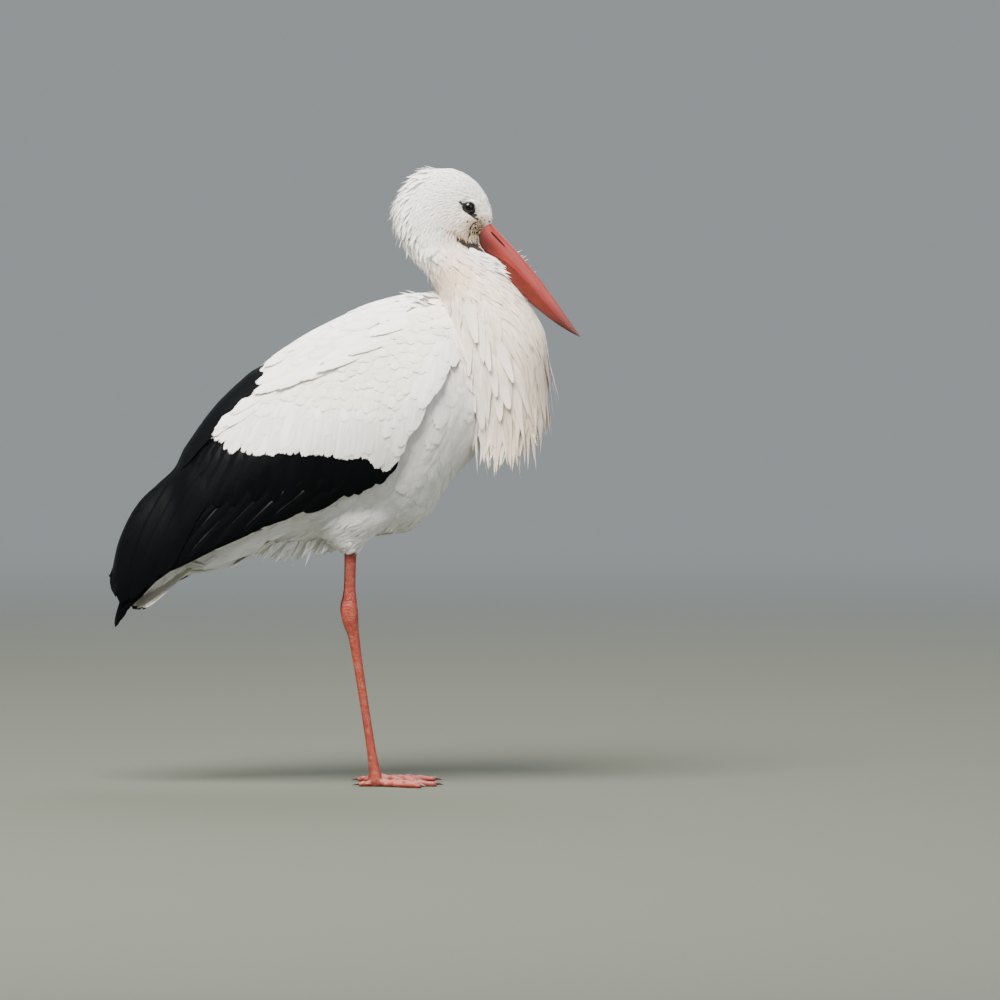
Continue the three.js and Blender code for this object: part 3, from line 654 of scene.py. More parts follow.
def add_node(tree, kind, links=None, **settings):
    """A node with its settings, and its inputs joined to sockets or set to values."""
    made = tree.nodes.new(kind)
    for name, value in settings.items():
        setattr(made, name, value)
    for socket, source in (links or {}).items():
        if isinstance(source, bpy.types.NodeSocket):
            tree.links.new(source, made.inputs[socket])
        else:
            made.inputs[socket].default_value = source
    return made


# Nodes that are read for one output: the kind, the inputs given in turn, that output, and what stays set.
READ_NODES = {
    "mix": ("ShaderNodeMix", (0, 6, 7), 2, {"data_type": "RGBA"}),
    "range": ("ShaderNodeMapRange", (0, 1, 2, 3, 4), 0, {}),
    "noise": ("ShaderNodeTexNoise", ("Vector", "Scale", "Detail"), 0, {}),
    "place": ("ShaderNodeTexCoord", (), 3, {}),
    "vector": ("ShaderNodeVectorMath", (0, 1), 0, {}),
    "scaled": ("ShaderNodeVectorMath", (0, 3), 0, {"operation": "SCALE"}),
    "colour mark": ("ShaderNodeAttribute", (), 0, {}),
    "vector mark": ("ShaderNodeAttribute", (), 1, {}),
    "mark": ("ShaderNodeAttribute", (), 2, {}),
    "named": ("GeometryNodeInputNamedAttribute", ("Name",), 0, {"data_type": "FLOAT_VECTOR"}),
}


def read_node(tree, short, *sources, **settings):
    """The output that is read of a node in the table above, or of a sum, given by its operation's name."""
    sum_of_numbers = ("ShaderNodeMath", (0, 1, 2), 0, {"operation": short})
    kind, sockets, output, steady = READ_NODES.get(short, sum_of_numbers)
    return add_node(tree, kind, dict(zip(sockets, sources)), **{**steady, **settings}).outputs[output]


def new_material(name, shader):
    """A material with one shader, whose steady values are set on its own sockets."""
    material = bpy.data.materials.new(name)
    material.use_nodes = True
    tree = material.node_tree
    tree.nodes.clear()
    surface = add_node(tree, "ShaderNodeBsdfPrincipled", shader)
    add_node(tree, "ShaderNodeOutputMaterial", {"Surface": surface.outputs["BSDF"]})
    return material, tree, surface


def finish_surface(tree, surface, colour, relief, strength, depth):
    """Gives the shader its colour, and a fine relief that is so many millimetres deep."""
    bump = add_node(tree, "ShaderNodeBump", {"Strength": strength, "Distance": depth * MM, "Height": relief})
    tree.links.new(colour, surface.inputs["Base Color"])
    tree.links.new(bump.outputs[0], surface.inputs["Normal"])


# How many blotches or grains go to a metre.
SKIN_MOTTLE = 220.0  # 4.5 mm each
LEG_BLOTCHES = 45.0  # 22 mm
LEG_DUST = 160.0  # 6 mm
BILL_BLOTCHES = 38.0  # 26 mm
IRIS_RAYS = 900.0  # 1.1 mm
CLAW_GRAIN = 500.0  # 2 mm
SKIN_PEBBLES = 1 / (0.7 * MM)
LEG_SCALES = 1 / (3.2 * MM)
KERATIN_IOR = 1.54
BARB_SLANT = 0.22
GLOW_DEPTH = 0.003  # how far light goes under feathers and leg skin, in metres


def feather_material(name, roughness, barbs, strength, root_shade, sheen, gloss, glow):
    """Keratin vanes: matte, with the barbs' fine slanting lines, and painted shade that darkens each root
    where feathers overlap.
    """
    material, tree, surface = new_material(name, {
        "Roughness": roughness, "IOR": KERATIN_IOR, "Specular IOR Level": gloss, "Sheen Weight": sheen,
        "Sheen Roughness": 0.5, "Subsurface Weight": glow, "Subsurface Radius": (1.0, 0.95, 0.88),
        "Subsurface Scale": GLOW_DEPTH})
    vane = add_node(tree, "ShaderNodeSeparateXYZ", {0: read_node(tree, "vector mark", attribute_name="vane")})
    across, along = vane.outputs[0], vane.outputs[1]
    drop = read_node(tree, "MULTIPLY", read_node(tree, "ABSOLUTE", across), BARB_SLANT)
    slant = read_node(tree, "SUBTRACT", along, drop)
    lines = read_node(tree, "SINE", read_node(tree, "MULTIPLY", slant, barbs * 2 * math.pi))
    # Painted shade: each vane's colour darkens towards its root, where it lies under the feathers above.
    shade = read_node(tree, "range", along, 0.0, 0.6, root_shade, 1.0)
    barred = read_node(tree, "MULTIPLY_ADD", lines, 0.03, 0.98)
    grey = read_node(tree, "MULTIPLY", shade, barred)
    greys = add_node(tree, "ShaderNodeCombineColor", {0: grey, 1: grey, 2: grey}).outputs[0]
    tint = read_node(tree, "colour mark", attribute_name="tint")
    colour = read_node(tree, "mix", 1.0, tint, greys, blend_type="MULTIPLY")
    finish_surface(tree, surface, colour, lines, strength, 0.4)
    return material


def skin_material():
    """Skin under the coat: matte, in the coat's own colours; black, fine-grained and moist round the eyes."""
    material, tree, surface = new_material("feathered skin", {})
    place = read_node(tree, "place")
    noise = add_node(tree, "ShaderNodeTexNoise", {"Vector": place, "Scale": SKIN_MOTTLE, "Detail": 3.0})
    tint = read_node(tree, "colour mark", attribute_name="tint")
    coat = read_node(tree, "mix", 0.12, tint, noise.outputs["Color"], blend_type="SOFT_LIGHT")
    bare = read_node(tree, "mark", attribute_name="bare")
    pebbles = add_node(tree, "ShaderNodeTexVoronoi", {"Vector": place, "Scale": SKIN_PEBBLES})
    raised = read_node(tree, "range", pebbles.outputs["Distance"], 0.2, 0.8)
    black = read_node(tree, "mix", raised, rgba("#1a1617"), rgba("#0a0809"))
    rough = read_node(tree, "range", bare, 0.0, 1.0, 0.85, 0.4)
    tree.links.new(rough, surface.inputs["Roughness"])
    finish_surface(tree, surface, read_node(tree, "mix", bare, coat, black), noise.outputs[0], 0.4, 0.4)
    return material


def leg_material():
    """Horny scaled skin of a wader's leg: satin, red, with pale dust in patches and a darker red in the
    furrows between small scales.
    """
    material, tree, surface = new_material("red scaled leg skin", {
        "Roughness": 0.5, "Subsurface Weight": 0.08, "Subsurface Scale": GLOW_DEPTH})
    place = read_node(tree, "place")
    stretched = add_node(tree, "ShaderNodeMapping", {"Vector": place, "Scale": (1.0, 1.0, 0.72)})
    cells = add_node(tree, "ShaderNodeTexVoronoi", {"Vector": stretched.outputs[0], "Scale": LEG_SCALES},
                     feature="DISTANCE_TO_EDGE")
    furrow = read_node(tree, "range", cells.outputs["Distance"], 0.02, 0.16, 0.0, 1.0)
    blotch = read_node(tree, "range", read_node(tree, "noise", place, LEG_BLOTCHES, 4.0), 0.35, 0.65)
    dust = read_node(tree, "range", read_node(tree, "noise", place, LEG_DUST, 3.0), 0.45, 0.8)
    red = read_node(tree, "mix", blotch, rgba("#842113"), rgba("#923523"))
    dusty = read_node(tree, "mix", dust, red, rgba("#96604f"))
    # A darker red, taken by the furrows between the scales.
    low = read_node(tree, "mix", 0.6, dusty, rgba("#6d2c24"))
    finish_surface(tree, surface, read_node(tree, "mix", furrow, low, dusty), furrow, 0.55, 0.5)
    return material


def bill_material():
    """Horn sheath: semi-gloss red, dusky along the ridge and at the tip, with fine lengthwise lines; painted
    shade darkens the lower half, the root below the ridge and the nostril slits.
    """
    material, tree, surface = new_material("red horn bill", {
        "Roughness": 0.4, "Coat Weight": 0.12, "Coat Roughness": 0.3})
    place = read_node(tree, "place")
    level = add_node(tree, "ShaderNodeMapping", {"Vector": place, "Rotation": (0, -BILL_SLOPE, 0)})
    streaks = add_node(tree, "ShaderNodeMapping", {"Vector": level.outputs[0], "Scale": (18, 420, 420)})
    lines = read_node(tree, "noise", streaks.outputs[0], 1.0, 5.0)
    tone = read_node(tree, "vector mark", attribute_name="tone")
    ridge, tip, low = add_node(tree, "ShaderNodeSeparateXYZ", {0: tone}).outputs
    blotch = read_node(tree, "noise", place, BILL_BLOTCHES, 4.0)
    blotch = read_node(tree, "range", blotch, 0.3, 0.75, 0.0, 0.55)
    colour = rgba("#7f2620")
    # The lower half's darker red, and the dark at the root and in the nostril slits, are painted shade.
    for share, over in (
        (low, "#55150c"),
        (blotch, "#8a342c"),
        (read_node(tree, "MULTIPLY", ridge, 0.5), "#8a443f"),
        (read_node(tree, "MULTIPLY", tip, 0.7), "#482b27"),
        (read_node(tree, "range", lines, 0.42, 0.62, 0.0, 0.3), "#601c17"),
        (read_node(tree, "mark", attribute_name="dark"), "#2a0f0c"),
    ):
        colour = read_node(tree, "mix", share, colour, rgba(over))
    finish_surface(tree, surface, colour, lines, 0.3, 0.3)
    return material


def eye_material():
    """A wet eye: very dark brown iris round a black pupil, under a clear glossy cornea."""
    material, tree, surface = new_material("dark brown eye", {
        "Roughness": 0.06, "Coat Weight": 0.12, "Coat Roughness": 0.02, "Specular IOR Level": 0.3})
    place = read_node(tree, "mark", attribute_name="from_pupil")
    rays = add_node(tree, "ShaderNodeTexNoise", {"Scale": IRIS_RAYS, "Detail": 3.0}).outputs[0]
    iris = read_node(tree, "mix", read_node(tree, "range", rays, 0.35, 0.7), rgba("#070504"), rgba("#120c09"))
    colour = read_node(tree, "mix", read_node(tree, "range", place, 0.30, 0.34), rgba("#020202"), iris)
    colour = read_node(tree, "mix", read_node(tree, "range", place, 0.62, 0.72), colour, rgba("#0a0708"))
    tree.links.new(colour, surface.inputs["Base Color"])
    return material


def claw_material():
    """Dull horn: dark brown, with small paler worn patches."""
    material, tree, surface = new_material("dark horn claw", {"Roughness": 0.5})
    grain = read_node(tree, "noise", read_node(tree, "place"), CLAW_GRAIN, 4.0)
    worn = read_node(tree, "range", grain, 0.35, 0.7)
    colour = read_node(tree, "mix", worn, rgba("#2e1c18"), rgba("#5a4038"))
    finish_surface(tree, surface, colour, grain, 0.3, 0.2)
    return material


# ==== The skin, the bill, the eyes and the claws ====
WHITE = linear("#f8f5f0")
CREAM = linear("#eddac2")
STAIN = linear("#957a59")
FLUSH = linear("#e0ba96")
BUFF = linear("#c9b593")
BRISTLE = linear("#150e0a")
GAPE = linear("#1d0a06")
GAPE_SKIN = linear("#9a6455")
BLACK = linear("#15151a")
SKIN_VOXEL = 3.0
LEG_VOXEL = 1.25


def plumage_tint(points):
    """The coat's colour at each place: white, warmed on the neck and breast, stained before the eye."""
    x, _, z = points.T
    side = np.abs(points[:, 1])
    warm = ramp(z, 470, 560) * (1 - ramp(z, 690, 740)) * ramp(x, 95, 140)
    warm = np.maximum(warm * 0.75, 0.8 * ramp(x, 150, 200) * (1 - ramp(z, 600, 660)))
    flush = np.exp(-((x - 140) / 26) ** 2 - ((z - 630) / 19) ** 2)
    marks = (
        (warm, 1.0, CREAM),
        (flush, 0.7, FLUSH),
        (lore_patch(points), 0.9, STAIN),
        (tapered_streak(x, z, (150, 680), (122, 694), 4.0) * ramp(side, 5, 12), 0.7, GAPE_SKIN),
        (np.exp(-(((x - 152) / 13) ** 2 + ((z - 684) / 7.5) ** 2) ** 1.5) * ramp(side, 5, 12), 0.75, BUFF),
        (tapered_streak(x, z, (178, 661), (139, 680), 10.5) * ramp(side, 4, 10), 0.98, GAPE),
    )
    tint = np.tile(WHITE, (len(points), 1))
    for share, strength, colour in marks:
        share = (share * strength)[:, None]
        tint = tint * (1 - share) + colour * share
    return tint


def lore_patch(points):
    """1 on the stained, bristly patch between the eye and the bill."""
    x, _, z = points.T
    middle = np.exp(-(((x - 166) / 15) ** 2 + ((z - 695) / 14) ** 2) ** 1.5)
    return np.clip(middle * 1.25, 0, 1) * ramp(np.abs(points[:, 1]), 5, 11)


def speckled(points, tints, rng):
    """Bristles before the eye are black, brown and buff side by side."""
    patch = lore_patch(points)
    draw = rng.random(len(points))
    dark = (draw < 0.5 * patch)[:, None]
    pale = ((draw > 0.72) & (patch > 0.3))[:, None]
    return np.where(dark, BRISTLE, np.where(pale, BUFF, tints))


def is_wing_black(x, z):
    """1 where the folded wing is black: below the white coverts and along the back behind them."""
    white_low = np.interp(x, [-300, -168, -139, 33, 43, 60, 80, 200],
                          [900, 430, 415, 411, 394, 392, 300, 300])
    white_back = np.interp(z, [400, 431, 449, 480, 501, 525, 560], [-168, -167, -160, -139, -118, -106, -90])
    return ((z < white_low) | (x < white_back)).astype(float)


def colour_attribute(thing, tints):
    flat = np.concatenate([tints, np.ones((len(tints), 1))], axis=1)
    set_attribute(thing, "tint", "FLOAT_COLOR", flat)


def build_skin(materials):
    """One skin for head, neck, trunk, thighs and the bare legs."""
    volumes = [neck_volume(), trunk_volume(), wing_volume(), thigh_volume(-1), thigh_volume(1)]
    body = built_skin("body_skin", volumes, SKIN_VOXEL, 6)
    drawn_back(body, volumes[0], 655)
    refine_round_eyes(body)
    set_points(body, shape_lids(points_of(body)))
    legs = []
    for side, lag, _ in LEGS:
        leg = built_skin("leg_skin", leg_volumes(side, lag), LEG_VOXEL, 3)
        points = points_of(leg)
        points[:, 2] = np.maximum(points[:, 2], 0)
        set_points(leg, points)
        legs.append(leg)
    parts = []
    for thing in [body, *legs]:
        faces = [list(face.vertices) for face in thing.data.polygons]
        parts.append((points_of(thing), faces))
    body_faces = len(parts[0][1])
    skin = new_mesh("skin", *joined(parts))
    remove(body, *legs)
    points = points_of(skin)
    tints = plumage_tint(points)
    black = is_wing_black(points[:, 0], points[:, 2]) * (np.abs(points[:, 1]) > 30)
    black = black * (wing_edge(points[:, 0]) - 6 < points[:, 2])
    tints = np.where(black[:, None] > 0.5, BLACK, tints)
    colour_attribute(skin, tints)
    set_attribute(skin, "bare", "FLOAT", bare_skin(points))
    for material in (materials["skin"], materials["leg"]):
        skin.data.materials.append(material)
    slots = np.zeros(len(skin.data.polygons), int)
    slots[body_faces:] = 1
    skin.data.polygons.foreach_set("material_index", slots)
    return skin


def build_bill(materials):
    pieces = []
    for upper, name in ((True, "bill_upper"), (False, "bill_lower")):
        half = new_mesh(f"{name}_horn", *mandible(upper))
        points = points_of(half)
        flat = points[:, [0, 2]] - BILL_BASE
        along, down = flat @ BILL_ALONG, flat @ BILL_DOWN
        below, _, arch, _ = read_bill(np.clip(along, -BILL_ROOT, BILL_LENGTH)).T
        ridge = (1 - ramp((down + arch) / (below + arch), 0.0, 0.3)) * ramp(along, -5, 30)
        tip = ramp(along, 105, 165)
        # The lower half is marked all over for a painted shade.
        low = np.full(len(along), 0.0 if upper else 1.0)
        set_attribute(half, "tone", "FLOAT_VECTOR", stacked(ridge, tip, low))
        # Painted shade: dark at the bill's root below the ridge, and in the nostril slits.
        base = 0.8 * (1 - ramp(along, -2, 44)) * ramp(down, 2, 20)
        turn = np.arccos(np.clip(1 - 2 * (down + arch) / (below + arch), -1, 1))
        slit = nostril_shade(along, turn) if upper else 0
        set_attribute(half, "dark", "FLOAT", np.maximum(base, slit))
        half.data.materials.append(materials["bill"])
        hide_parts(name)
        pieces.append(half)
    return pieces


def build_eyes(materials):
    pieces = []
    for side, name in ((-1, "eye_right"), (1, "eye_left")):
        ball = new_mesh(f"{name}_ball", *eyeball(side))
        offset = (points_of(ball) - EYE_CENTRE * [1, side, 1]) / EYE["radius"]
        set_attribute(ball, "from_pupil", "FLOAT", np.hypot(offset[:, 0], offset[:, 2]))
        ball.data.materials.append(materials["eye"])
        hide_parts(name)
        pieces.append(ball)
    return pieces


def build_claws(materials):
    pieces = []
    for side, lag, name in LEGS:
        claws = new_mesh(f"claws_{name}", *joined([claw_volume(toe, side, lag) for toe in TOES]))
        claws.data.materials.append(materials["claw"])
        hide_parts(*[f"claw_{name}_{toe['name']}" for toe in TOES])
        pieces.append(claws)
    return pieces


# ==== Vanes: the few shapes that every small feather is a copy of ====
# A vane is one unit long along Y and one unit broad, closed all round. Its "vane" attribute holds its place:
# across from -1 to 1, along from 0 at the root to 1 at the tip, and its rise over the bed in breadths.
VARIANTS = 6
CRISP = math.radians(50)  # a vane's rim is a crisp edge, so that both its faces are lit as flat sheets
PATCH = 0.003  # the share of the unwrap that one small feather takes


def closed_sheet(top, bottom):
    """A thin closed body from two grids of points that share their rim."""
    rows, columns, _ = top.shape
    upper = np.arange(rows * columns).reshape(rows, columns)
    lower = upper.copy()
    lower[1:-1, 1:-1] = rows * columns + np.arange((rows - 2) * (columns - 2)).reshape(rows - 2, -1)
    points = np.concatenate([top.reshape(-1, 3), bottom[1:-1, 1:-1].reshape(-1, 3)])
    quads = grid_faces(rows, columns)
    faces = np.concatenate([upper.ravel()[quads], lower.ravel()[quads][:, ::-1]])
    return points, faces.tolist()


def contour_vane(rows, columns, blunt, ragged, seed):
    """A flat rounded feather, arched across, with a ridge along its shaft and a frayed tip."""
    rng = np.random.default_rng(seed)
    along = np.linspace(0, 1, rows)
    across = np.linspace(-1, 1, columns)
    half = 0.5 * (0.35 + 0.65 * ramp(along, 0, 0.5)) * (1 - 0.3 * along ** 3)
    teeth = 0.5 * (np.arange(columns) % 2) + 0.7 * rng.random(columns)
    ends = 1 - blunt * np.abs(across) ** 2.4 - ragged * teeth
    bend = 0.1 * rng.uniform(-1, 1)
    x = across[None] * half[:, None] + bend * (along[:, None] ** 2)
    y = along[:, None] * ends[None]
    arch = 0.022 * (1 - across ** 2) + 0.01 * np.exp(-(across / 0.15) ** 2)
    z = arch[None] * np.sin(np.pi * np.clip(along, 0.05, 0.94))[:, None] ** 0.5
    top = stacked(x, y, z)
    bottom = stacked(x, y, z - 0.012 * (1 - across ** 2)[None])
    return closed_sheet(top, bottom)


def lock_vane(strands, rings, spread, fullness, seed):
    """A loose feather: narrow blades that start together, overlap, and part towards their tips."""
    rng = np.random.default_rng(seed)
    bend = rng.uniform(-0.16, 0.16)
    blades = []
    for i in range(strands):
        side = 0.0 if strands == 1 else 2 * i / (strands - 1) - 1
        side += rng.uniform(-0.5, 0.5) / strands
        length = 1 - 0.3 * abs(side) ** 1.4 - rng.uniform(0, 0.16)
        along = np.linspace(0, 1, rings + 1)
        profile = along ** 0.6 * (1 - 0.45 * along ** 2)
        middle = side * spread * profile + bend * along ** 2 * length ** 2
        swell = 0.55 + 0.45 * np.sin(np.pi * np.minimum(along * 1.4, 1))
        half = fullness / strands * swell * (1 - along ** 2.2)
        rise = rng.uniform(0, 0.07) + 0.05 * np.sin(np.pi * along) - 0.05 * side ** 2 * along
        loops = []
        for angle in (np.pi, 0, np.pi / 2):
            x = middle + half * np.cos(angle)
            z = rise + 0.2 * half * np.sin(angle)
            loops.append(stacked(x, along * length, z))
        rings_of_blade = np.stack(loops, axis=1)[:-1]
        points = np.concatenate([rings_of_blade.reshape(-1, 3), [[middle[-1], length, rise[-1]]]])
        faces = grid_faces(rings, 3, closed=True).tolist()
        last = (rings - 1) * 3
        faces += [[last + j, last + (j + 1) % 3, rings * 3] for j in range(3)]
        faces.append([2, 1, 0])
        blades.append((points, faces))
    return joined(blades)


def vane_set(name, make, sizes, first):
    """A collection of variants of one kind of vane."""
    group = bpy.data.collections.new(name)
    bpy.context.scene.collection.children.link(group)
    for i in range(VARIANTS):
        points, faces = make(*sizes, SEED + first + i)
        thing = new_mesh(f"{name}_{i}", points / MM, faces)
        place = stacked(points[:, 0] * 2, points[:, 1], points[:, 2])
        set_attribute(thing, "vane", "FLOAT_VECTOR", place)
        thing.data.set_sharp_from_angle(angle=CRISP)
        bpy.context.scene.collection.objects.unlink(thing)
        group.objects.link(thing)
    return group


# Each kind of vane: what makes it, its sizes, and the first of its seeds.
VANE_KINDS = {
    "bristle": (lock_vane, (3, 2, 0.36, 1.0), 0),
    "tuft": (lock_vane, (4, 4, 0.28, 1.35), 10),
    "plume": (lock_vane, (5, 6, 0.24, 1.5), 20),
    "broad": (contour_vane, (9, 13, 0.34, 0.07), 60),
    "fluff": (lock_vane, (5, 5, 0.4, 1.2), 50),
    "contour": (contour_vane, (6, 13, 0.24, 0.1), 30),
    "covert": (contour_vane, (6, 13, 0.22, 0.065), 40),
}


def make_vanes():
    return {name: vane_set(name, make, sizes, first) for name, (make, sizes, first) in VANE_KINDS.items()}


def remove_vanes(vanes):
    for group in vanes.values():
        remove(*list(group.objects))
        bpy.data.collections.remove(group)


# ==== Laying small feathers on a form ====
def coat_tree():
    """Geometry nodes: a vane on every root, turned to its lie, bent along the form and given its patch."""
    tree = bpy.data.node_groups.new("lay feathers", "GeometryNodeTree")
    for name, kind in (("Roots", "Geometry"), ("Vanes", "Collection"), ("Form", "Object"),
                       ("Finish", "Material")):
        tree.interface.new_socket(name, in_out="INPUT", socket_type=f"NodeSocket{kind}")
    tree.interface.new_socket("Coat", in_out="OUTPUT", socket_type="NodeSocketGeometry")
    given = add_node(tree, "NodeGroupInput").outputs
    vanes = add_node(tree, "GeometryNodeCollectionInfo", {
        "Collection": given["Vanes"], "Separate Children": True, "Reset Children": True})
    out, lie, size, hold, vane_place = (read_node(tree, "named", name)
                                        for name in ("out", "lie", "size", "hold", "vane"))
    turn = add_node(tree, "FunctionNodeAxesToRotation", {"Primary Axis": out, "Secondary Axis": lie},
                    primary_axis="Z", secondary_axis="Y")
    copies = add_node(tree, "GeometryNodeInstanceOnPoints", {
        "Points": given["Roots"], "Instance": vanes.outputs[0], "Pick Instance": True,
        "Instance Index": read_node(tree, "named", "kind", data_type="INT"),
        "Rotation": turn.outputs[0], "Scale": size})
    real = add_node(tree, "GeometryNodeRealizeInstances", {"Geometry": copies.outputs[0]})

    place = add_node(tree, "GeometryNodeInputPosition").outputs[0]
    vane, sizes, holds = (add_node(tree, "ShaderNodeSeparateXYZ", {0: source}).outputs
                          for source in (vane_place, size, hold))
    climb = read_node(tree, "POWER", vane[1], 1.5)
    over_bed = read_node(tree, "MULTIPLY_ADD", climb, holds[0], holds[1])
    rise = read_node(tree, "MULTIPLY_ADD", vane[2], sizes[2], over_bed)
    form = add_node(tree, "GeometryNodeObjectInfo", {"Object": given["Form"]}).outputs["Geometry"]
    nearest, outward = (add_node(tree, "GeometryNodeSampleNearestSurface", {
        "Mesh": form, "Value": value, "Sample Position": place}, data_type="FLOAT_VECTOR").outputs[0]
        for value in (place, out))
    outward = read_node(tree, "vector", outward, operation="NORMALIZE")
    laid = read_node(tree, "vector", nearest, read_node(tree, "scaled", outward, rise), operation="ADD")
    free = read_node(tree, "vector", place, read_node(tree, "scaled", out, over_bed), operation="ADD")
    final = add_node(tree, "ShaderNodeMix", {0: holds[2], 4: free, 5: laid}, data_type="VECTOR").outputs[1]
    moved = add_node(tree, "GeometryNodeSetPosition", {"Geometry": real.outputs[0], "Position": final})

    patch = read_node(tree, "scaled", vane_place, PATCH * 0.5)
    spot = read_node(tree, "vector", read_node(tree, "named", "root_uv"), patch, operation="ADD")
    mapped = add_node(tree, "GeometryNodeStoreNamedAttribute", {
        "Geometry": moved.outputs[0], "Name": "OFBake", "Value": spot}, data_type="FLOAT2", domain="CORNER")
    smooth = add_node(tree, "GeometryNodeSetShadeSmooth", {"Geometry": mapped.outputs[0]})
    finish = add_node(tree, "GeometryNodeSetMaterial", {
        "Geometry": smooth.outputs[0], "Material": given["Finish"]})
    add_node(tree, "NodeGroupOutput", {"Coat": finish.outputs[0]})
    return tree


def lay_coat(name, tree, roots, vanes, form, material):
    """One piece of the coat, from roots as feather_roots gives them."""
    count = len(roots["place"])
    rng = seeded(len(name) + count)
    coat = new_mesh(name, roots["place"], [])
    sizes = stacked(roots["breadth"], roots["reach"], roots["breadth"]) * MM
    holds = stacked(roots["lift"] * MM, roots["bed"] * MM, roots["cling"])
    marks = np.concatenate([roots["uv"], np.zeros((count, 1))], axis=1)
    for key, values in (("out", roots["out"]), ("lie", roots["lie"]), ("size", sizes), ("hold", holds),
                        ("root_uv", marks)):
        set_attribute(coat, key, "FLOAT_VECTOR", values)
    set_attribute(coat, "kind", "INT", rng.integers(0, VARIANTS, count).astype(np.int32))
    colour_attribute(coat, roots["tint"])
    modifier = add_modifier(coat, "NODES", node_group=tree)
    inputs = {item.name: item.identifier for item in tree.interface.items_tree if item.item_type == "SOCKET"}
    modifier[inputs["Vanes"]] = vanes
    modifier[inputs["Form"]] = form
    modifier[inputs["Finish"]] = material
    applied(coat)
    for spare in ("out", "lie", "size", "hold", "root_uv", "kind"):
        old = coat.data.attributes.get(spare)
        if old:
            coat.data.attributes.remove(old)
    return coat


def surface_of(thing):
    """A mesh as points in millimetres, normals and triangles."""
    mesh = thing.data
    mesh.calc_loop_triangles()
    flat = np.empty(len(mesh.loop_triangles) * 3, np.int32)
    mesh.loop_triangles.foreach_get("vertices", flat)
    return points_of(thing), normals_of(thing), flat.reshape(-1, 3)


def scatter(surface, spacing, rng):
    """Roots spread evenly over a surface. spacing gives the gap in mm at each point, or 0 for none there."""
    points, normals, triangles = surface
    corners = points[triangles]
    area = np.linalg.norm(np.cross(corners[:, 1] - corners[:, 0], corners[:, 2] - corners[:, 0]), axis=1) / 2
    gaps = spacing(corners.mean(axis=1))
    wanted = np.where(gaps > 0, area / np.maximum(gaps, 0.1) ** 2, 0)
    total = int(wanted.sum() * 3.2)
    chosen = np.searchsorted(np.cumsum(wanted), rng.random(total) * wanted.sum())
    chosen = np.minimum(chosen, len(triangles) - 1)
    first, second = rng.random((2, total))
    over = first + second > 1
    first, second = np.where(over, 1 - first, first), np.where(over, 1 - second, second)
    shares = stacked(1 - first - second, first, second)[..., None]
    places = (corners[chosen] * shares).sum(axis=1)
    outs = unit((normals[triangles[chosen]] * shares).sum(axis=1))
    reach = gaps[chosen]
    cell_size = gaps.max()
    cells, kept = {}, []
    near = [(i, j, k) for i in (-1, 0, 1) for j in (-1, 0, 1) for k in (-1, 0, 1)]
    keys = np.floor(places / cell_size).astype(int).tolist()
    spots, gaps_squared = places.tolist(), (reach ** 2).tolist()
    for index, (key, spot, limit) in enumerate(zip(keys, spots, gaps_squared)):
        crowded = False
        for step in near:
            for other in cells.get((key[0] + step[0], key[1] + step[1], key[2] + step[2]), ()):
                gap = (spot[0] - other[0]) ** 2 + (spot[1] - other[1]) ** 2 + (spot[2] - other[2]) ** 2
                if gap < limit:
                    crowded = True
                    break
            if crowded:
                break
        if not crowded:
            cells.setdefault(tuple(key), []).append(spot)
            kept.append(index)
    return places[kept], outs[kept]


# The lie of the coat in side view: x, z, then the way the feathers point there.
LIE = np.array([
    [180, 733, -0.75, 0.65], [160, 758, -0.95, 0.3], [130, 771, -1, 0], [95, 766, -0.92, -0.4],
    [70, 745, -0.6, -0.8], [61, 715, -0.3, -0.95], [66, 690, 0, -1], [82, 662, 0.4, -0.92],
    [98, 642, 0.4, -0.92], [155, 742, -0.95, 0.25], [132, 724, -1, -0.15], [150, 702, -0.85, -0.5],
    [173, 706, -0.85, 0.1], [120, 700, -0.7, -0.7], [95, 700, -0.55, -0.85], [112, 680, -0.1, -1],
    [140, 684, 0.1, -1], [150, 668, 0.75, -0.65], [170, 668, 0.85, -0.5], [190, 652, 0.87, -0.5],
    [115, 655, 0.4, -0.92], [112, 632, 0.3, -0.95], [150, 632, 0.55, -0.85], [185, 625, 0.6, -0.8],
    [215, 612, 0.62, -0.78], [160, 600, 0.4, -0.92], [240, 580, 0.2, -0.98], [120, 590, 0.1, -1],
    [200, 540, 0.15, -1], [150, 540, 0.05, -1], [250, 520, 0.02, -1], [240, 450, 0.05, -1],
    [180, 450, 0, -1], [125, 520, -0.1, -1], [120, 470, -0.25, -0.97], [110, 420, -0.4, -0.92],
    [145, 430, -0.4, -0.92], [90, 370, -0.6, -0.8], [60, 340, -0.75, -0.66], [20, 330, -0.8, -0.6],
    [0, 300, -0.95, -0.3], [60, 312, -0.9, -0.4], [-60, 305, -0.95, -0.3], [-120, 300, -0.93, -0.35],
    [-200, 275, -0.9, -0.42], [110, 615, -1, -0.08], [80, 615, -1, -0.12], [40, 600, -0.95, -0.3],
    [-60, 545, -0.85, -0.5], [-150, 465, -0.72, -0.7],
])
# The same for the folded wing's coverts and the scapulars over them.
WING_LIE = np.array([
    [-155, 440, -0.6, -0.8], [-120, 425, -0.3, -0.95], [-60, 425, -0.12, -1], [0, 430, -0.06, -1],
    [50, 420, 0, -1], [75, 430, -0.1, -1], [60, 470, -0.2, -0.98], [-60, 465, -0.4, -0.92],
    [-120, 475, -0.7, -0.72], [0, 480, -0.35, -0.94], [0, 505, -0.6, -0.8], [60, 520, -0.55, -0.84],
    [-90, 510, -0.86, -0.5], [-30, 535, -0.92, -0.4], [40, 560, -0.92, -0.38], [-60, 550, -0.85, -0.52],
    [20, 590, -0.93, -0.37], [100, 605, -0.98, -0.2], [110, 560, -0.8, -0.6], [110, 500, -0.4, -0.92],
    [90, 450, -0.25, -0.97], [-110, 525, -0.75, -0.66],
])


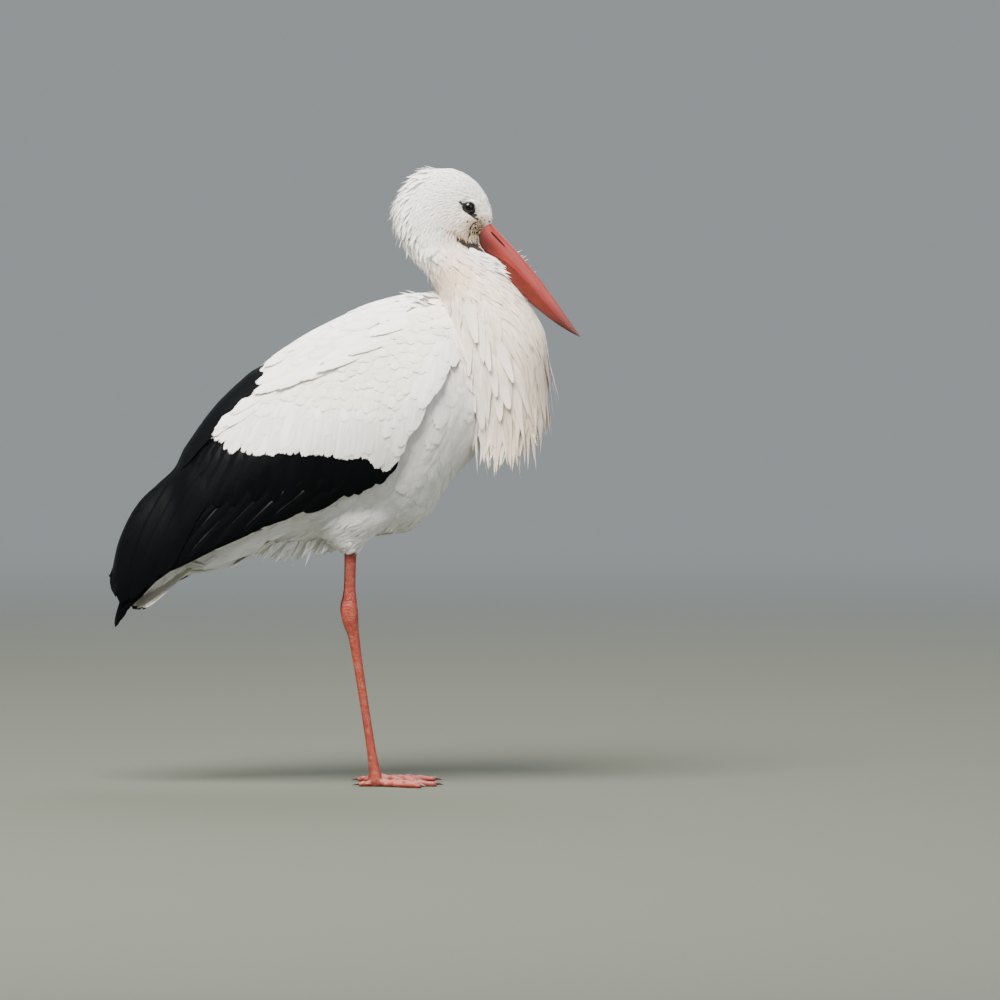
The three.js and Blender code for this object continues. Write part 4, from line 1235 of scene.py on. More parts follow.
def lie_at(table, places, outs, rng, scatter_by=0.12):
    """The way feathers point at each place: the nearest marks' ways, laid into the surface."""
    gap = (places[:, None, 0] - table[:, 0]) ** 2 + (places[:, None, 2] - table[:, 1]) ** 2 + 16
    weight = gap ** -1.6
    way = weight @ unit(table[:, 2:4])
    way = stacked(way[:, 0], np.zeros(len(way)), way[:, 1])
    way = flatten_onto(unit(way), outs)
    sideways = np.cross(outs, way)
    return unit(way + sideways * rng.normal(0, scatter_by, (len(way), 1)))


def around_line(places, line):
    """An unwrap of a long body: how far along its middle line each place is, and how far round it."""
    line = np.asarray(line, float)
    steps = np.linalg.norm(np.diff(line, axis=0), axis=1)
    best = np.full(len(places), np.inf)
    way, turn = np.zeros(len(places)), np.zeros(len(places))
    walked = 0
    for start, stop, length in zip(line[:-1], line[1:], steps):
        heading = (stop - start) / length
        flat = places[:, [0, 2]] - start
        share = np.clip(flat @ heading, 0, length)
        off = flat - share[:, None] * heading
        gap = np.hypot(off[:, 0], off[:, 1])
        nearer = gap < best
        height = heading[0] * off[:, 1] - heading[1] * off[:, 0]
        best = np.where(nearer, gap, best)
        way = np.where(nearer, walked + share, way)
        turn = np.where(nearer, np.arctan2(places[:, 1], height), turn)
        walked += length
    return stacked(0.01 + 0.98 * way / walked, 0.5 + 0.49 * turn / np.pi)


BODY_LINE = [(175, 700), (120, 712), (95, 670), (130, 610), (185, 540), (110, 470), (0, 430), (-160, 350),
             (-260, 245)]


def varied(rng, count, middle, spread):
    return np.asarray(middle) * np.exp(rng.normal(0, spread, count))


def shaded(tints, rng, spread=0.035):
    return np.clip(tints * (1 + rng.normal(0, spread, (len(tints), 1))), 0, 1)


def feather_roots(place, out, lie, breadth, reach, lift, bed, cling, tint, uv=None):
    """What lay_coat needs to know of each feather. The sizes are given for each one, or once for all."""
    sizes = {"breadth": breadth, "reach": reach, "lift": lift, "bed": bed, "cling": cling}
    return {
        "place": place, "out": out, "lie": lie, "tint": tint,
        "uv": around_line(place, BODY_LINE) if uv is None else uv,
        **{key: value * np.ones(len(place)) for key, value in sizes.items()},
    }


def all_white(count, rng):
    return shaded(np.tile(WHITE, (count, 1)), rng)


def merged(groups):
    return {key: np.concatenate([group[key] for group in groups]) for key in groups[0]}


def half_of(roots, side):
    """The roots on one side of the bird."""
    return {key: value[roots["place"][:, 1] * side > 0] for key, value in roots.items()}


# ==== The coat, region by region ====
def body_roots(surface, spacing, seed, size, hold, table=LIE, scatter_by=0.12):
    """Roots on the skin. size and hold give breadth and reach, and lift, bed and cling, at each place."""
    rng = seeded(seed)
    places, outs = scatter(surface, spacing, rng)
    count = len(places)
    breadth, reach = size(places)
    lift, bed, cling = hold(places)
    lies = lie_at(table, places, outs, rng, scatter_by)
    middles = places + lies * (np.ones(count) * reach * 0.6)[:, None]
    return feather_roots(
        places, outs, lies, varied(rng, count, breadth, 0.14), varied(rng, count, reach, 0.14),
        varied(rng, count, lift, 0.3), bed + rng.random(count) * 0.4, cling,
        speckled(middles, shaded(plumage_tint(middles), rng, 0.02), rng))


def near_bill(places):
    """How far each place lies outside the bill's root, in mm."""
    flat = places[:, [0, 2]] - BILL_BASE
    along, down = flat @ BILL_ALONG, flat @ BILL_DOWN
    below, half, arch, _ = read_bill(np.clip(along, -BILL_ROOT, BILL_LENGTH)).T
    past = np.maximum(np.abs(down - (below - arch) / 2) - (below + arch) / 2, 0)
    off = np.hypot(past, np.maximum(np.abs(places[:, 1]) - half, 0))
    return np.where(along > -BILL_ROOT, off, off + (-BILL_ROOT - along))


def head_spacing(places):
    head = ramp(places[:, 2], 655, 665)
    gap = 2.0 + 0.5 * ramp(-places[:, 0], -120, -70) - 0.7 * lore_patch(places)
    covered = (bare_skin(places) > 0.4) | (near_bill(places) < 0.5)
    return np.where((head > 0.5) & ~covered, gap, 0)


def head_size(places):
    x, _, z = places.T
    face = np.exp(-((np.hypot(x - 175, z - 705)) / 26) ** 2)
    near_eye = np.exp(-((np.hypot(x - EYE["x"], z - EYE["z"])) / 14) ** 2)
    nape = ramp(-x, -95, -66)
    low = 1 - ramp(z, 668, 700)
    reach = 8.5 - 3.8 * np.maximum(face, near_eye) + 5.5 * nape + 5 * low
    patch = lore_patch(places)
    return 0.9 + reach * 0.24 - 0.6 * patch, reach - 1.2 * patch


def head_hold(places):
    x, _, z = places.T
    nape = ramp(-x, -90, -64) * ramp(z, 660, 690)
    return 0.9 + 2.2 * nape + 1.6 * lore_patch(places), 0.35, 0.95 - 0.3 * nape


def neck_spacing(places):
    x, _, z = places.T
    band = (z > 540) & (z < 672)
    saddle = (z > 598) & (x > 62)
    kept = band & (saddle | (x > 84 + 0.4 * np.maximum(0, 640 - z)))
    return np.where(kept, 3.6 + 1.6 * (1 - ramp(z, 570, 640)) * ramp(x, 84, 104), 0)


def neck_size(places):
    x, _, z = places.T
    reach = 16 + 18 * (1 - ramp(z, 600, 672)) * (0.4 + 0.6 * ramp(x, 84, 104))
    return 4.0 + reach * 0.2, reach


def neck_hold(places):
    x, _, z = places.T
    neck = np.maximum(ramp(x, 84, 104), ramp(z, 628, 646))
    nape = ramp(-x, -122, -98) * neck
    lift = 0.4 + (1.4 + 2.2 * (1 - ramp(z, 590, 670))) * neck + 3.5 * nape
    return lift, 0.7, 0.97 - 0.07 * neck - 0.35 * nape


def body_spacing(places):
    x, _, z = places.T
    open_coat = (z < wing_edge(x) + 16) | (x > 132)
    saddle = (x > 64) & (z > 556)
    kept = (open_coat & (z < 600) | saddle & (z < 604)) & (z > 336)
    return np.where(kept, 8.5 - 3.2 * np.maximum(ramp(z, 590, 608), ramp(z, 566, 588) * ramp(x, 66, 90)), 0)


def body_size(places):
    z = places[:, 2]
    saddle = ramp(z, 592, 612)
    reach = 44 - 16 * ramp(z, 540, 590) - 13 * saddle
    return 15 + reach * 0.28 - 7 * saddle, reach


def belly_spacing(places):
    x, _, z = places.T
    leg = (z < 340) & (np.hypot(x - 8, np.abs(places[:, 1]) - HALF_STANCE) < 60)
    low = (z < 352) & (z > np.where(leg, 299, 289)) & (z < wing_edge(x) + 12) & (x > -150)
    return np.where(low, np.where(leg, 5.0, 7.0), 0)


def belly_size(places):
    x, _, z = places.T
    thigh = (1 - ramp(z, 294, 335)) * (np.abs(x - 6) < 40)
    reach = 36 - 21 * thigh
    return 9 + reach * 0.2, reach


def belly_hold(places):
    thigh = 1 - ramp(places[:, 2], 294, 335)
    return 2.2 + 2.0 * thigh, 0.8, 0.88


# Where loose tufts hang from the belly in side view: x and z of the root, and the tuft's length.
BELLY_TUFTS = [
    (-104, 304, 30), (-96, 306, 36), (-88, 305, 40), (-79, 306, 44), (-70, 305, 46), (-61, 306, 48),
    (-52, 306, 46), (-44, 306, 44), (-36, 307, 40), (-27, 306, 38), (-18, 306, 36), (-10, 306, 30),
    (64, 330, 26), (72, 336, 30), (80, 342, 32), (88, 349, 34), (95, 356, 32), (103, 366, 30),
]


def belly_tufts():
    rng = seeded(15)
    rows = [[x + rng.normal(0, 2), side * rng.uniform(6, 34), z + rng.normal(0, 3), reach, side]
            for x, z, reach in BELLY_TUFTS for side in (-1, 1) * 8]
    table = np.array(rows)
    count = len(table)
    side = table[:, 4]
    ways = stacked(np.full(count, -0.62), 0 * side, np.full(count, -0.78))
    outs = stacked(0 * side, side, 0 * side)
    ways[:, 0] += rng.normal(0, 0.2, count)
    return feather_roots(
        table[:, 0:3], outs, unit(ways), rng.uniform(5, 8.5, count),
        table[:, 3] * rng.uniform(0.45, 0.82, count), rng.uniform(-5, 5, count), 0.5, 0,
        all_white(count, rng))


def rear_spacing(places):
    x, _, z = places.T
    return np.where((z < wing_edge(x) + 10) & (z < 352) & (x <= -130) & (x > -212), 8.0, 0)


def spike_spacing(places):
    x, _, z = places.T
    rear = np.interp(z, [600, 640, 670, 700, 740, 765], [118, 116, 100, 86, 84, 112])
    return np.where((x < rear) & (z > 634), 5.6, 0)


def drape_form():
    angle = ring_angles(64)
    keys = np.linspace(352, 704, 60)
    rings = [neck_ring(np.full_like(angle, z), angle, 7.0 + 3 * (1 - ramp(z, 450, 560)), read_drape)
             for z in keys]
    form = new_mesh("drape_form", *closed_loft(rings))
    set_attribute(form, "out", "FLOAT_VECTOR", normals_of(form))
    return form


# Where the plumes' tips end in side view, from the breast's rear to its front: x, z.
PLUME_HEM = np.array([
    [108, 540], [122, 512], [138, 488], [152, 466], [162, 436], [172, 404], [190, 400], [205, 404],
    [222, 412], [236, 432], [250, 446], [262, 462], [275, 480],
])


def plume_spacing(places):
    x, _, z = places.T
    hem = np.interp(x, *PLUME_HEM.T)
    rear = np.interp(z, [430, 520, 600, 650], [150, 122, 112, 100])
    return np.where((z > hem + 34) & (z < 640) & (x > rear), 7.7 - 2.6 * ramp(z, 540, 630), 0)


def plume_size(places):
    x, _, z = places.T
    hem = np.interp(x, *PLUME_HEM.T)
    wish = 30 + 75 * (1 - ramp(z, 490, 635))
    reach = np.minimum(wish, (z - hem) * 1.02)
    return 10.5 + reach * 0.13, np.maximum(reach, 24)


def plume_hold(places):
    z = places[:, 2]
    low = 1 - ramp(z, 470, 600)
    return 2.0 + 3.0 * low, 0.9, 0.9 - 0.2 * low


def clumped(roots, share, pull, rise, seed):
    """Draws the feathers' tips together in locks, each standing a little prouder or flatter than the next."""
    rng = seeded(seed)
    lies, reach = roots["lie"], roots["reach"][:, None]
    tips = roots["place"] + lies * reach
    heads = tips[rng.permutation(len(tips))[: len(tips) // share]]
    nearest = np.argmin(np.sum((tips[:, None] - heads[None]) ** 2, axis=-1), axis=1)
    off = (heads[nearest] - tips) / reach
    off -= np.sum(off * lies, axis=1)[:, None] * lies
    lies = flatten_onto(lies + pull * off, roots["out"])
    lift = np.maximum(roots["lift"] + rng.uniform(-0.5, 1, len(heads))[nearest] * rise, 0.8)
    return {**roots, "lie": lies, "lift": lift}


def throat_roots(skin_form):
    """Throat feathers that lie over the bill's lower edge, and tufts that stand up on its far side."""
    rng = seeded(8)
    tree = BVHTree.FromObject(skin_form, bpy.context.evaluated_depsgraph_get())
    places, ways = [], []
    for side in (-1, 1):
        for _ in range(46):
            x, z = rng.uniform(150, 186), 0
            z = 668 - (x - 150) * 0.42 + rng.uniform(-9, 5)
            hit = tree.ray_cast(Vector((x * MM, side * 0.08, z * MM)), Vector((0, -side, 0)))[0]
            if hit is None:
                continue
            places.append([x, hit.y / MM, z])
            ways.append([0.93, side * 0.06, -0.33 + rng.normal(0, 0.1)])
    for x, z in FAR_TUFTS:
        for _ in range(5):
            places.append([x - 32 + rng.normal(0, 2.5), 13.5 + rng.uniform(-1, 1), z - 17 + rng.normal(0, 4)])
            ways.append([0.86, -0.02, 0.46 + rng.normal(0, 0.1)])
    places, ways = np.array(places), unit(np.array(ways))
    count = len(places)
    outs = np.zeros((count, 3))
    outs[:, 1] = np.sign(places[:, 1])
    far = np.arange(count) >= count - 5 * len(FAR_TUFTS)
    reach = np.where(far, rng.uniform(0.45, 1.05, count) ** 0.8 * 51, 27 * rng.uniform(0.88, 1.12, count))
    return feather_roots(
        places, outs, flatten_onto(ways, outs), np.where(far, 6.0, 6.5) * rng.uniform(0.8, 1.2, count), reach,
        3.5, 1.5, 0.25, all_white(count, rng))


# Tips of the plumes that hang free of the ruff in side view, with how far from the middle: x, z, y.
PROUD_PLUMES = [
    (269, 466, -4), (266, 461, 8), (252, 487, -10), (249, 428, -14), (246, 436, 6), (233, 437, -26),
    (227, 411, -20), (221, 418, 12), (213, 401, -30), (201, 392, -36), (194, 398, 20), (182, 385, -40),
    (168, 386, -44), (258, 448, 0), (240, 419, -4), (207, 405, 34), (176, 396, 40), (262, 474, 14),
]


def proud_plumes(drape):
    """Long plumes whose tips part from the ruff."""
    rng = seeded(12)
    tree = BVHTree.FromObject(drape, bpy.context.evaluated_depsgraph_get())
    rows = []
    for x, z, y in PROUD_PLUMES:
        start = Vector(((x - 9) * MM, y * MM, (z + 82) * MM))
        spot, out, _, _ = tree.find_nearest(start)
        spot, tip = np.array(spot) / MM, np.array([x, y, z], float)
        rows.append([*spot, *out, *unit(tip - spot), np.linalg.norm(tip - spot)])
    table = np.array(rows)
    count = len(table)
    return feather_roots(
        table[:, 0:3], flatten_onto(table[:, 3:6], table[:, 6:9]), table[:, 6:9], rng.uniform(9, 14, count),
        table[:, 9] * rng.uniform(0.98, 1.06, count), 2.0, 1.5, 0.1, all_white(count, rng))


# Tips of the broad plumes that lie over the ruff's rear and side: x, z.
BROAD_PLUMES = [
    (114, 534), (127, 530), (121, 516), (143, 524), (134, 503), (150, 470), (142, 486), (163, 490),
    (156, 452), (184, 515), (177, 526), (168, 466), (196, 456), (177, 444), (190, 486), (208, 500),
    (160, 512), (204, 470), (150, 540), (170, 548),
]


def broad_plumes(drape):
    """Broad plumes on both sides of the ruff, whose tips end at many heights."""
    rng = seeded(19)
    tree = BVHTree.FromObject(drape, bpy.context.evaluated_depsgraph_get())
    rows = []
    for side in (-1, 1):
        for x, z in BROAD_PLUMES:
            reach, lean = rng.uniform(44, 66), rng.normal(0.2, 0.08)
            start = Vector(((x - lean * reach) * MM, side * 0.2, (z + reach) * MM))
            spot, out = tree.ray_cast(start, Vector((0, -side, 0)))[:2]
            if spot is not None:
                rows.append([*np.array(spot) / MM, *out, lean, 0, -1, reach])
    table = np.array(rows)
    outs = table[:, 3:6] * np.sign(table[:, 4] * table[:, 1])[:, None]
    count = len(table)
    tint = WHITE * 0.6 + PEACH * 0.4
    return feather_roots(
        table[:, 0:3], outs, flatten_onto(table[:, 6:9], outs), rng.uniform(12, 17, count), table[:, 9],
        rng.uniform(5.5, 8, count), 4.2, 0.85, shaded(np.tile(tint, (count, 1)), rng))


# Tips of the tufts that show beyond the bill's ridge: x, z.
FAR_TUFTS = [(218, 670), (222, 667), (225, 661), (229, 656), (231, 649), (239, 642), (244, 631),
             (249, 622), (227, 653), (234, 647)]
PEACH = linear("#dcc6aa")


def make_body_coat(skin_form, tree, vanes, material):
    surface = surface_of(skin_form)
    drape = drape_form()
    coats = []

    def lay(name, roots, vane, form=skin_form):
        coats.append(lay_coat(f"coat_{name}", tree, roots, vanes[vane], form, material))

    head = body_roots(surface, head_spacing, 1, head_size, head_hold)
    for side, name in SIDES:
        lay(f"head_{name}", half_of(head, side), "bristle")
    neck = body_roots(surface, neck_spacing, 2, neck_size, neck_hold)
    lay("neck", clumped(neck, 9, 0.4, 1.0, 17), "tuft")
    body = body_roots(surface, body_spacing, 3, body_size, lambda at: (0.85, 0.6, 0.96))
    body = clumped(body, 8, 0.22, 1.5, 18)
    for side, name in SIDES:
        lay(f"body_{name}", half_of(body, side), "contour")
    plumes = body_roots(surface_of(drape), plume_spacing, 4, plume_size, plume_hold, scatter_by=0.1)
    creamy = seeded(9).uniform(0, 1, (len(plumes["place"]), 1)) ** 1.5
    plumes["tint"] = plumes["tint"] * (1 - 0.7 * creamy) + PEACH * 0.7 * creamy
    hanging = 1 - ramp(plumes["place"][:, 2], 480, 600)
    plumes = clumped(plumes, 7, 0.5, 2.4 + 2.6 * hanging, 16)
    lay("breast_plumes", merged([plumes, proud_plumes(drape)]), "plume", drape)
    lay("broad_plumes", broad_plumes(drape), "broad", drape)
    belly = body_roots(surface, belly_spacing, 5, belly_size, belly_hold, scatter_by=0.2)
    lay("belly", belly, "fluff")
    lay("belly_tufts", belly_tufts(), "tuft")
    rear = body_roots(surface, rear_spacing, 6, lambda at: (22, 50), lambda at: (2.0, 1.0, 0.92))
    lay("under_tail", rear, "contour")
    spikes = body_roots(surface, spike_spacing, 7, lambda at: (4.6, 17), lambda at: (6.0, 1.0, 0.3),
                        scatter_by=0.25)
    spikes["tint"] = all_white(len(spikes["place"]), seeded(0))
    lay("nape", spikes, "tuft")
    lay("throat", throat_roots(skin_form), "tuft")
    remove(drape)
    return coats


# ==== The folded wings' coverts and the scapulars ====
# Where the white coverts end over the black feathers: their tips' line along the wing, and down its rear.
FRINGE = np.array([[-170, 434], [-160, 428], [-139, 415], [-103, 413], [-68, 415], [-32, 411], [4, 408],
                   [30, 408], [40, 397], [51, 393], [60, 401], [71, 416], [83, 446], [99, 483], [116, 521]])
WHITE_REAR = np.array([[425, -168], [442, -167], [481, -139], [497, -117], [505, -120], [524, -103],
                       [640, -103]])
# The scapulars' lower edge over the coverts.
SCAPULAR_EDGE = np.array([[-170, 478], [-118, 492], [-87, 495], [-37, 514], [34, 544], [60, 556], [90, 580],
                          [110, 640]])
# Covert rows from the fringe upwards: how far the tips lie above it, reach, breadth.
COVERT_ROWS = [
    [0, 58, 22], [6, 54, 20], [28, 50, 22], [46, 42, 21], [62, 36, 20], [75, 32, 19], [87, 30, 18],
    [98, 29, 17.5], [108, 28, 17], [118, 27, 16.5],
    *[[rise, 26, 16] for rise in range(128, 189, 10)],
]
COVERT_CLING = 0.94  # how closely coverts follow the wing: 1 lies on it, 0 stands free
WING_INSET = 5.5  # how far under the wing's outline the feathers' bed lies


def wing_place(x, z, side, height=0.0):
    """A place on the folded wing over a point in side view, and the way out of it."""
    angle = wing_angle(x, z)
    normal = wing_normal(x, angle)
    point = wing_point(x, angle) + normal * np.asarray(height)[..., None]
    mirror = np.array([1, side, 1])
    return point * mirror, normal * mirror


def white_bounds(x, z):
    """The scapulars' edge above each x, and how far back and forward the white goes at each z."""
    return (np.interp(x, *SCAPULAR_EDGE.T), np.interp(z, *WHITE_REAR.T),
            np.interp(z, WING_EDGE[9:, 1], WING_EDGE[9:, 0]))


def wing_form():
    angle = ring_angles(128)
    rings = [wing_point(np.full_like(angle, x), angle, WING_INSET) for x in np.linspace(-291, 143, 110)]
    form = new_mesh("wing_form", *closed_loft(rings))
    outs = normals_of(form)
    outs = np.where(np.sum(outs * (points_of(form) - [0, 0, 430]), axis=1)[:, None] < 0, -outs, outs)
    set_attribute(form, "out", "FLOAT_VECTOR", outs)
    return form


def wing_uv(places):
    """An unwrap of both wings: along the bird, and round from the ridge."""
    side = places[:, 1] > 0
    angle = wing_angle(places[:, 0], places[:, 2]) / np.pi
    return stacked(0.02 + 0.96 * (places[:, 0] + HALF_LENGTH) / 440,
                     0.5 + np.where(side, 1, -1) * (0.01 + 0.48 * angle))


def side_roots(tips, lies, reach, breadth, lift, bed, side, rng, fade=0.0):
    """Roots of feathers whose tips are given in side view."""
    flat = tips - lies * reach[:, None]
    places, outs = wing_place(flat[:, 0], flat[:, 1], side, np.full(len(flat), -WING_INSET))
    count = len(flat)
    ways = stacked(lies[:, 0], np.zeros(count), lies[:, 1])
    tint = WHITE * (1 - fade) + CREAM * fade
    return feather_roots(places, outs, flatten_onto(ways, outs), breadth, reach, lift, bed, COVERT_CLING,
                         shaded(np.broadcast_to(tint, (count, 3)), rng), wing_uv(places))


def side_lie(flat, rng, scatter_by):
    places = stacked(flat[:, 0], np.zeros(len(flat)), flat[:, 1])
    outs = np.tile([0.0, -1.0, 0.0], (len(flat), 1))
    return lie_at(WING_LIE, places, outs, rng, scatter_by)[:, [0, 2]]


def covert_roots(side, rng):
    """Rows of coverts, each over the roots of the row below."""
    rows = []
    for index, (rise, reach, breadth) in enumerate(COVERT_ROWS):
        step = breadth * (0.34 if index < 2 else 0.5)
        x = np.arange(-176, 128, step) + (index % 2) * step / 2
        x = x + rng.uniform(-0.2, 0.2, len(x)) * step
        z = np.interp(x, *FRINGE.T) + rise + rng.normal(0, 1.1 + 0.02 * rise, len(x))
        edge, rear, front = white_bounds(x, z)
        kept = (x > rear - 2) & (x < front + 6) & (z < edge + 16)
        flat = stacked(x, z)[kept]
        count = len(flat)
        lies = side_lie(flat, rng, 0.05 + 0.05 * (index > 1))
        lift, bed = (0.8, 2.6) if index < 2 else (1.6, 1.5)
        rows.append(side_roots(
            flat, lies, varied(rng, count, reach, 0.06), varied(rng, count, breadth, 0.1),
            lift + rng.normal(0, 0.3, count), bed, side, rng, 0.34 if index > 3 else 0.06))
    return merged(rows)


# Scapulars that lie proud along their edge: root x, z, tip x, z, breadth, lift.
PROUD_SCAPULARS = [
    [92, 588, 30, 556, 20, 4], [62, 566, 2, 535, 20, 5], [36, 553, -40, 517, 19, 8],
    [22, 556, -34, 528, 18, 7], [0, 536, -62, 512, 20, 5], [-24, 532, -92, 501, 22, 6],
    [-56, 520, -122, 503, 24, 5],
    [-60, 530, -118, 510, 24, 5], [-70, 545, -104, 524, 22, 4], [-90, 506, -150, 472, 24, 4],
    [-110, 498, -166, 446, 24, 3.5], [-100, 490, -158, 456, 22, 3.5], [-124, 478, -169, 438, 20, 3.5],
]


def scapular_roots(side, form_surface, rng):
    """Scapulars and mantle feathers over the back, with a proud row along the scapulars' edge."""
    def gaps(places):
        x, _, z = places.T
        edge, rear, front = white_bounds(x, z)
        inside = (x > rear + 34) & (z > edge + 4) & (x < front + 4) & (z > 480) & (places[:, 1] * side > 0)
        return np.where(inside, 11.5 - 3.5 * ramp(x, 40, 120), 0)

    places, outs = scatter(form_surface, gaps, rng)
    count = len(places)
    small = ramp(places[:, 0], 20, 120)
    loose = feather_roots(
        places, outs, lie_at(WING_LIE, places, outs, rng, 0.08), varied(rng, count, 27 - 8 * small, 0.1),
        varied(rng, count, 52 - 20 * small, 0.1), varied(rng, count, 1.0, 0.25),
        2.0 + rng.random(count) * 0.3, 0.92, shaded(np.tile(WHITE, (count, 1)), rng, 0.02), wing_uv(places))
    table = np.array(PROUD_SCAPULARS, float)
    root, tip = table[:, 0:2], table[:, 2:4]
    reach = np.linalg.norm(tip - root, axis=1)
    proud = side_roots(tip, unit(tip - root), reach, table[:, 4], table[:, 5], 2.4, side, rng)
    return merged([loose, proud])


# ==== Long feathers of the wings and the tail ====
# Long feathers in side view, each by three places its shaft passes: root, middle, tip, then its breadth.
SECONDARY_TIPS = np.array([[55, 390], [42, 378], [24, 369], [4, 363], [-20, 360], [-44, 359], [-67, 358],
                           [-90, 360], [-114, 358], [-140, 355], [-160, 350], [-182, 344], [-200, 337],
                           [-218, 330], [-236, 318]])
SECONDARY_ROOTS = np.array([[60, 436], [48, 438], [32, 438], [14, 440], [-8, 440], [-28, 440], [-48, 441],
                            [-66, 442], [-84, 442], [-102, 443], [-118, 444], [-132, 446], [-142, 450],
                            [-150, 452], [-156, 452]])
# Shorter primaries slant down to the lower edge, and the longest ones run along it to the wing's tip.
PRIMARIES = [
    [[20, 400], [-12, 370], [-52, 345], 22], [[-4, 402], [-44, 366], [-90, 333], 22],
    [[-30, 404], [-76, 360], [-126, 318], 22], [[-56, 406], [-108, 352], [-162, 302], 22],
    [[-80, 408], [-136, 345], [-194, 287], 21], [[-98, 408], [-162, 336], [-224, 272], 20],
    [[-112, 404], [-184, 329], [-250, 254], 19], [[26, 382], [-90, 339], [-206, 284], 20],
    [[-40, 362], [-140, 319], [-240, 264], 20], [[-90, 352], [-180, 307], [-263, 242], 18],
    [[-124, 356], [-208, 296], [-278, 219], 17], [[-150, 354], [-233, 286], [-286, 204], 16],
    [[-160, 358], [-242, 285], [-291, 197], 16],
]
TERTIALS = [
    [[-150, 420], [-200, 338], [-236, 262], 32], [[-152, 424], [-210, 345], [-252, 246], 33],
    [[-155, 428], [-220, 352], [-268, 232], 34], [[-158, 431], [-231, 360], [-281, 226], 34],
    [[-160, 434], [-240, 368], [-288, 236], 34], [[-160, 438], [-244, 382], [-290, 252], 33],
    [[-150, 450], [-225, 402], [-279, 298], 32], [[-140, 462], [-214, 415], [-266, 338], 31],
    [[-130, 476], [-196, 430], [-244, 368], 30], [[-118, 492], [-178, 446], [-219, 394], 30],
    [[-100, 512], [-152, 474], [-198, 425], 29], [[-84, 530], [-130, 496], [-178, 452], 28],
]
LONG_ROWS = 44
LONG_COLUMNS = 11


def shaft_path(root, middle, tip, rows):
    """A smooth path through three places, evenly stepped."""
    root, middle, tip = (np.asarray(place, float) for place in (root, middle, tip))
    pull = 2 * middle - (root + tip) / 2
    t = np.linspace(0, 1, rows)[:, None]
    return (1 - t) ** 2 * root + 2 * t * (1 - t) * pull + t * t * tip


def long_outline(rows, point, rng, fray):
    """Half breadths along a long feather on both sides of its shaft, with a few small splits."""
    t = np.linspace(0, 1, rows)
    body = 0.55 + 0.45 * ramp(t, 0, 0.3)
    end = np.sqrt(np.clip(1 - ((t - 1 + point) / point) ** 2, 0, 1)) * (t > 1 - point) + (t <= 1 - point)
    sides = []
    for _ in range(2):
        edge = body * end
        for _ in range(rng.integers(0, fray + 1)):
            at = rng.integers(rows // 3, rows - 4)
            edge[at] *= 1 - rng.uniform(0.06, 0.16)
        sides.append(edge)
    return sides


def long_feather(path, breadth, layer, place, tint, rng, point=0.3, fray=3, worn=0.0):
    """One long feather: points, faces, vane places and tints. place turns side view and height to a point."""
    rows, columns = LONG_ROWS, LONG_COLUMNS
    way = unit(np.gradient(path, axis=0))
    across = stacked(way[:, 1], -way[:, 0])
    u = np.linspace(-1, 1, columns)
    low, high = long_outline(rows, point, rng, fray)
    half = np.where(u[None] < 0, low[:, None], high[:, None]) * breadth / 2
    flat = path[:, None] + across[:, None] * (u[None] * half)[..., None]
    t = np.linspace(0, 1, rows)
    arch = 0.8 * (1 - u ** 2)[None] * ramp(t, 0, 0.3)[:, None]
    shaft = 0.5 * np.exp(-(u / 0.09) ** 2)[None] * (1 - 0.7 * t)[:, None]
    wave = 0.18 * np.sin(u * 5 + rng.uniform(0, 6))[None] * np.sin(t * 14 + rng.uniform(0, 6))[:, None]
    height = 0.2 + layer * ramp(t, 0, 0.36)[:, None] + arch + shaft + wave
    thickness = 0.5 * (1 - np.abs(u) ** 3)[None] * (1 - 0.6 * t)[:, None]
    top = place(flat, height)
    bottom = place(flat, height - thickness)
    points, faces = closed_sheet(top, bottom)
    marks = np.stack(np.broadcast_arrays(u[None], t[:, None]), axis=-1)
    marks = np.concatenate([marks.reshape(-1, 2), marks[1:-1, 1:-1].reshape(-1, 2)])
    tints = np.tile(tint, (len(marks), 1))
    if worn:
        off, far = marks.T
        edge = worn * ramp(off, 0.6, 0.9) * ramp(far, 0.35, 0.5) * ramp(-far, -0.97, -0.8)
        tints = tints * (1 - edge[:, None]) + WORN * edge[:, None]
    return points, faces, marks, tints


def feather_piece(name, feathers, material):
    """Long feathers joined in one piece, each with its own strip of the unwrap."""
    points, faces = joined([(feather[0], feather[1]) for feather in feathers])
    marks = np.concatenate([feather[2] for feather in feathers])
    tints = np.concatenate([feather[3] for feather in feathers])
    thing = new_mesh(name, points, faces)
    thing.data.set_sharp_from_angle(angle=CRISP)
    set_attribute(thing, "vane", "FLOAT_VECTOR", np.concatenate([marks, np.zeros((len(marks), 1))], axis=1))
    colour_attribute(thing, tints)
    strip = 1 / len(feathers)
    spots = []
    for index, feather in enumerate(feathers):
        across = (index + 0.5 + 0.45 * feather[2][:, 0]) * strip
        spots.append(stacked(across, 0.01 + 0.98 * feather[2][:, 1]))
    spots = np.concatenate(spots)
    corners = np.empty(len(thing.data.loops), np.int32)
    thing.data.loops.foreach_get("vertex_index", corners)
    layer = thing.data.uv_layers.new(name="OFBake")
    layer.data.foreach_set("uv", spots[corners].ravel())
    thing.data.materials.append(material)
    return thing


def on_wing(side, droop):
    """Turns side view and height over the bed to a point on the folded wing."""
    def place(flat, height):
        x, z = flat[..., 0], flat[..., 1]
        fall = droop * (1 - ramp(z, 380, 450)) * (1 - ramp(x, -60, 0)) * ramp(x, -290, -255)
        shape = x.shape
        point, _ = wing_place(x.ravel(), z.ravel(), side, height.ravel() - WING_INSET)
        point[:, 2] -= fall.ravel()
        point[:, 1] = side * np.maximum(point[:, 1] * side, 0.5)
        return point.reshape(*shape, 3)

    return place


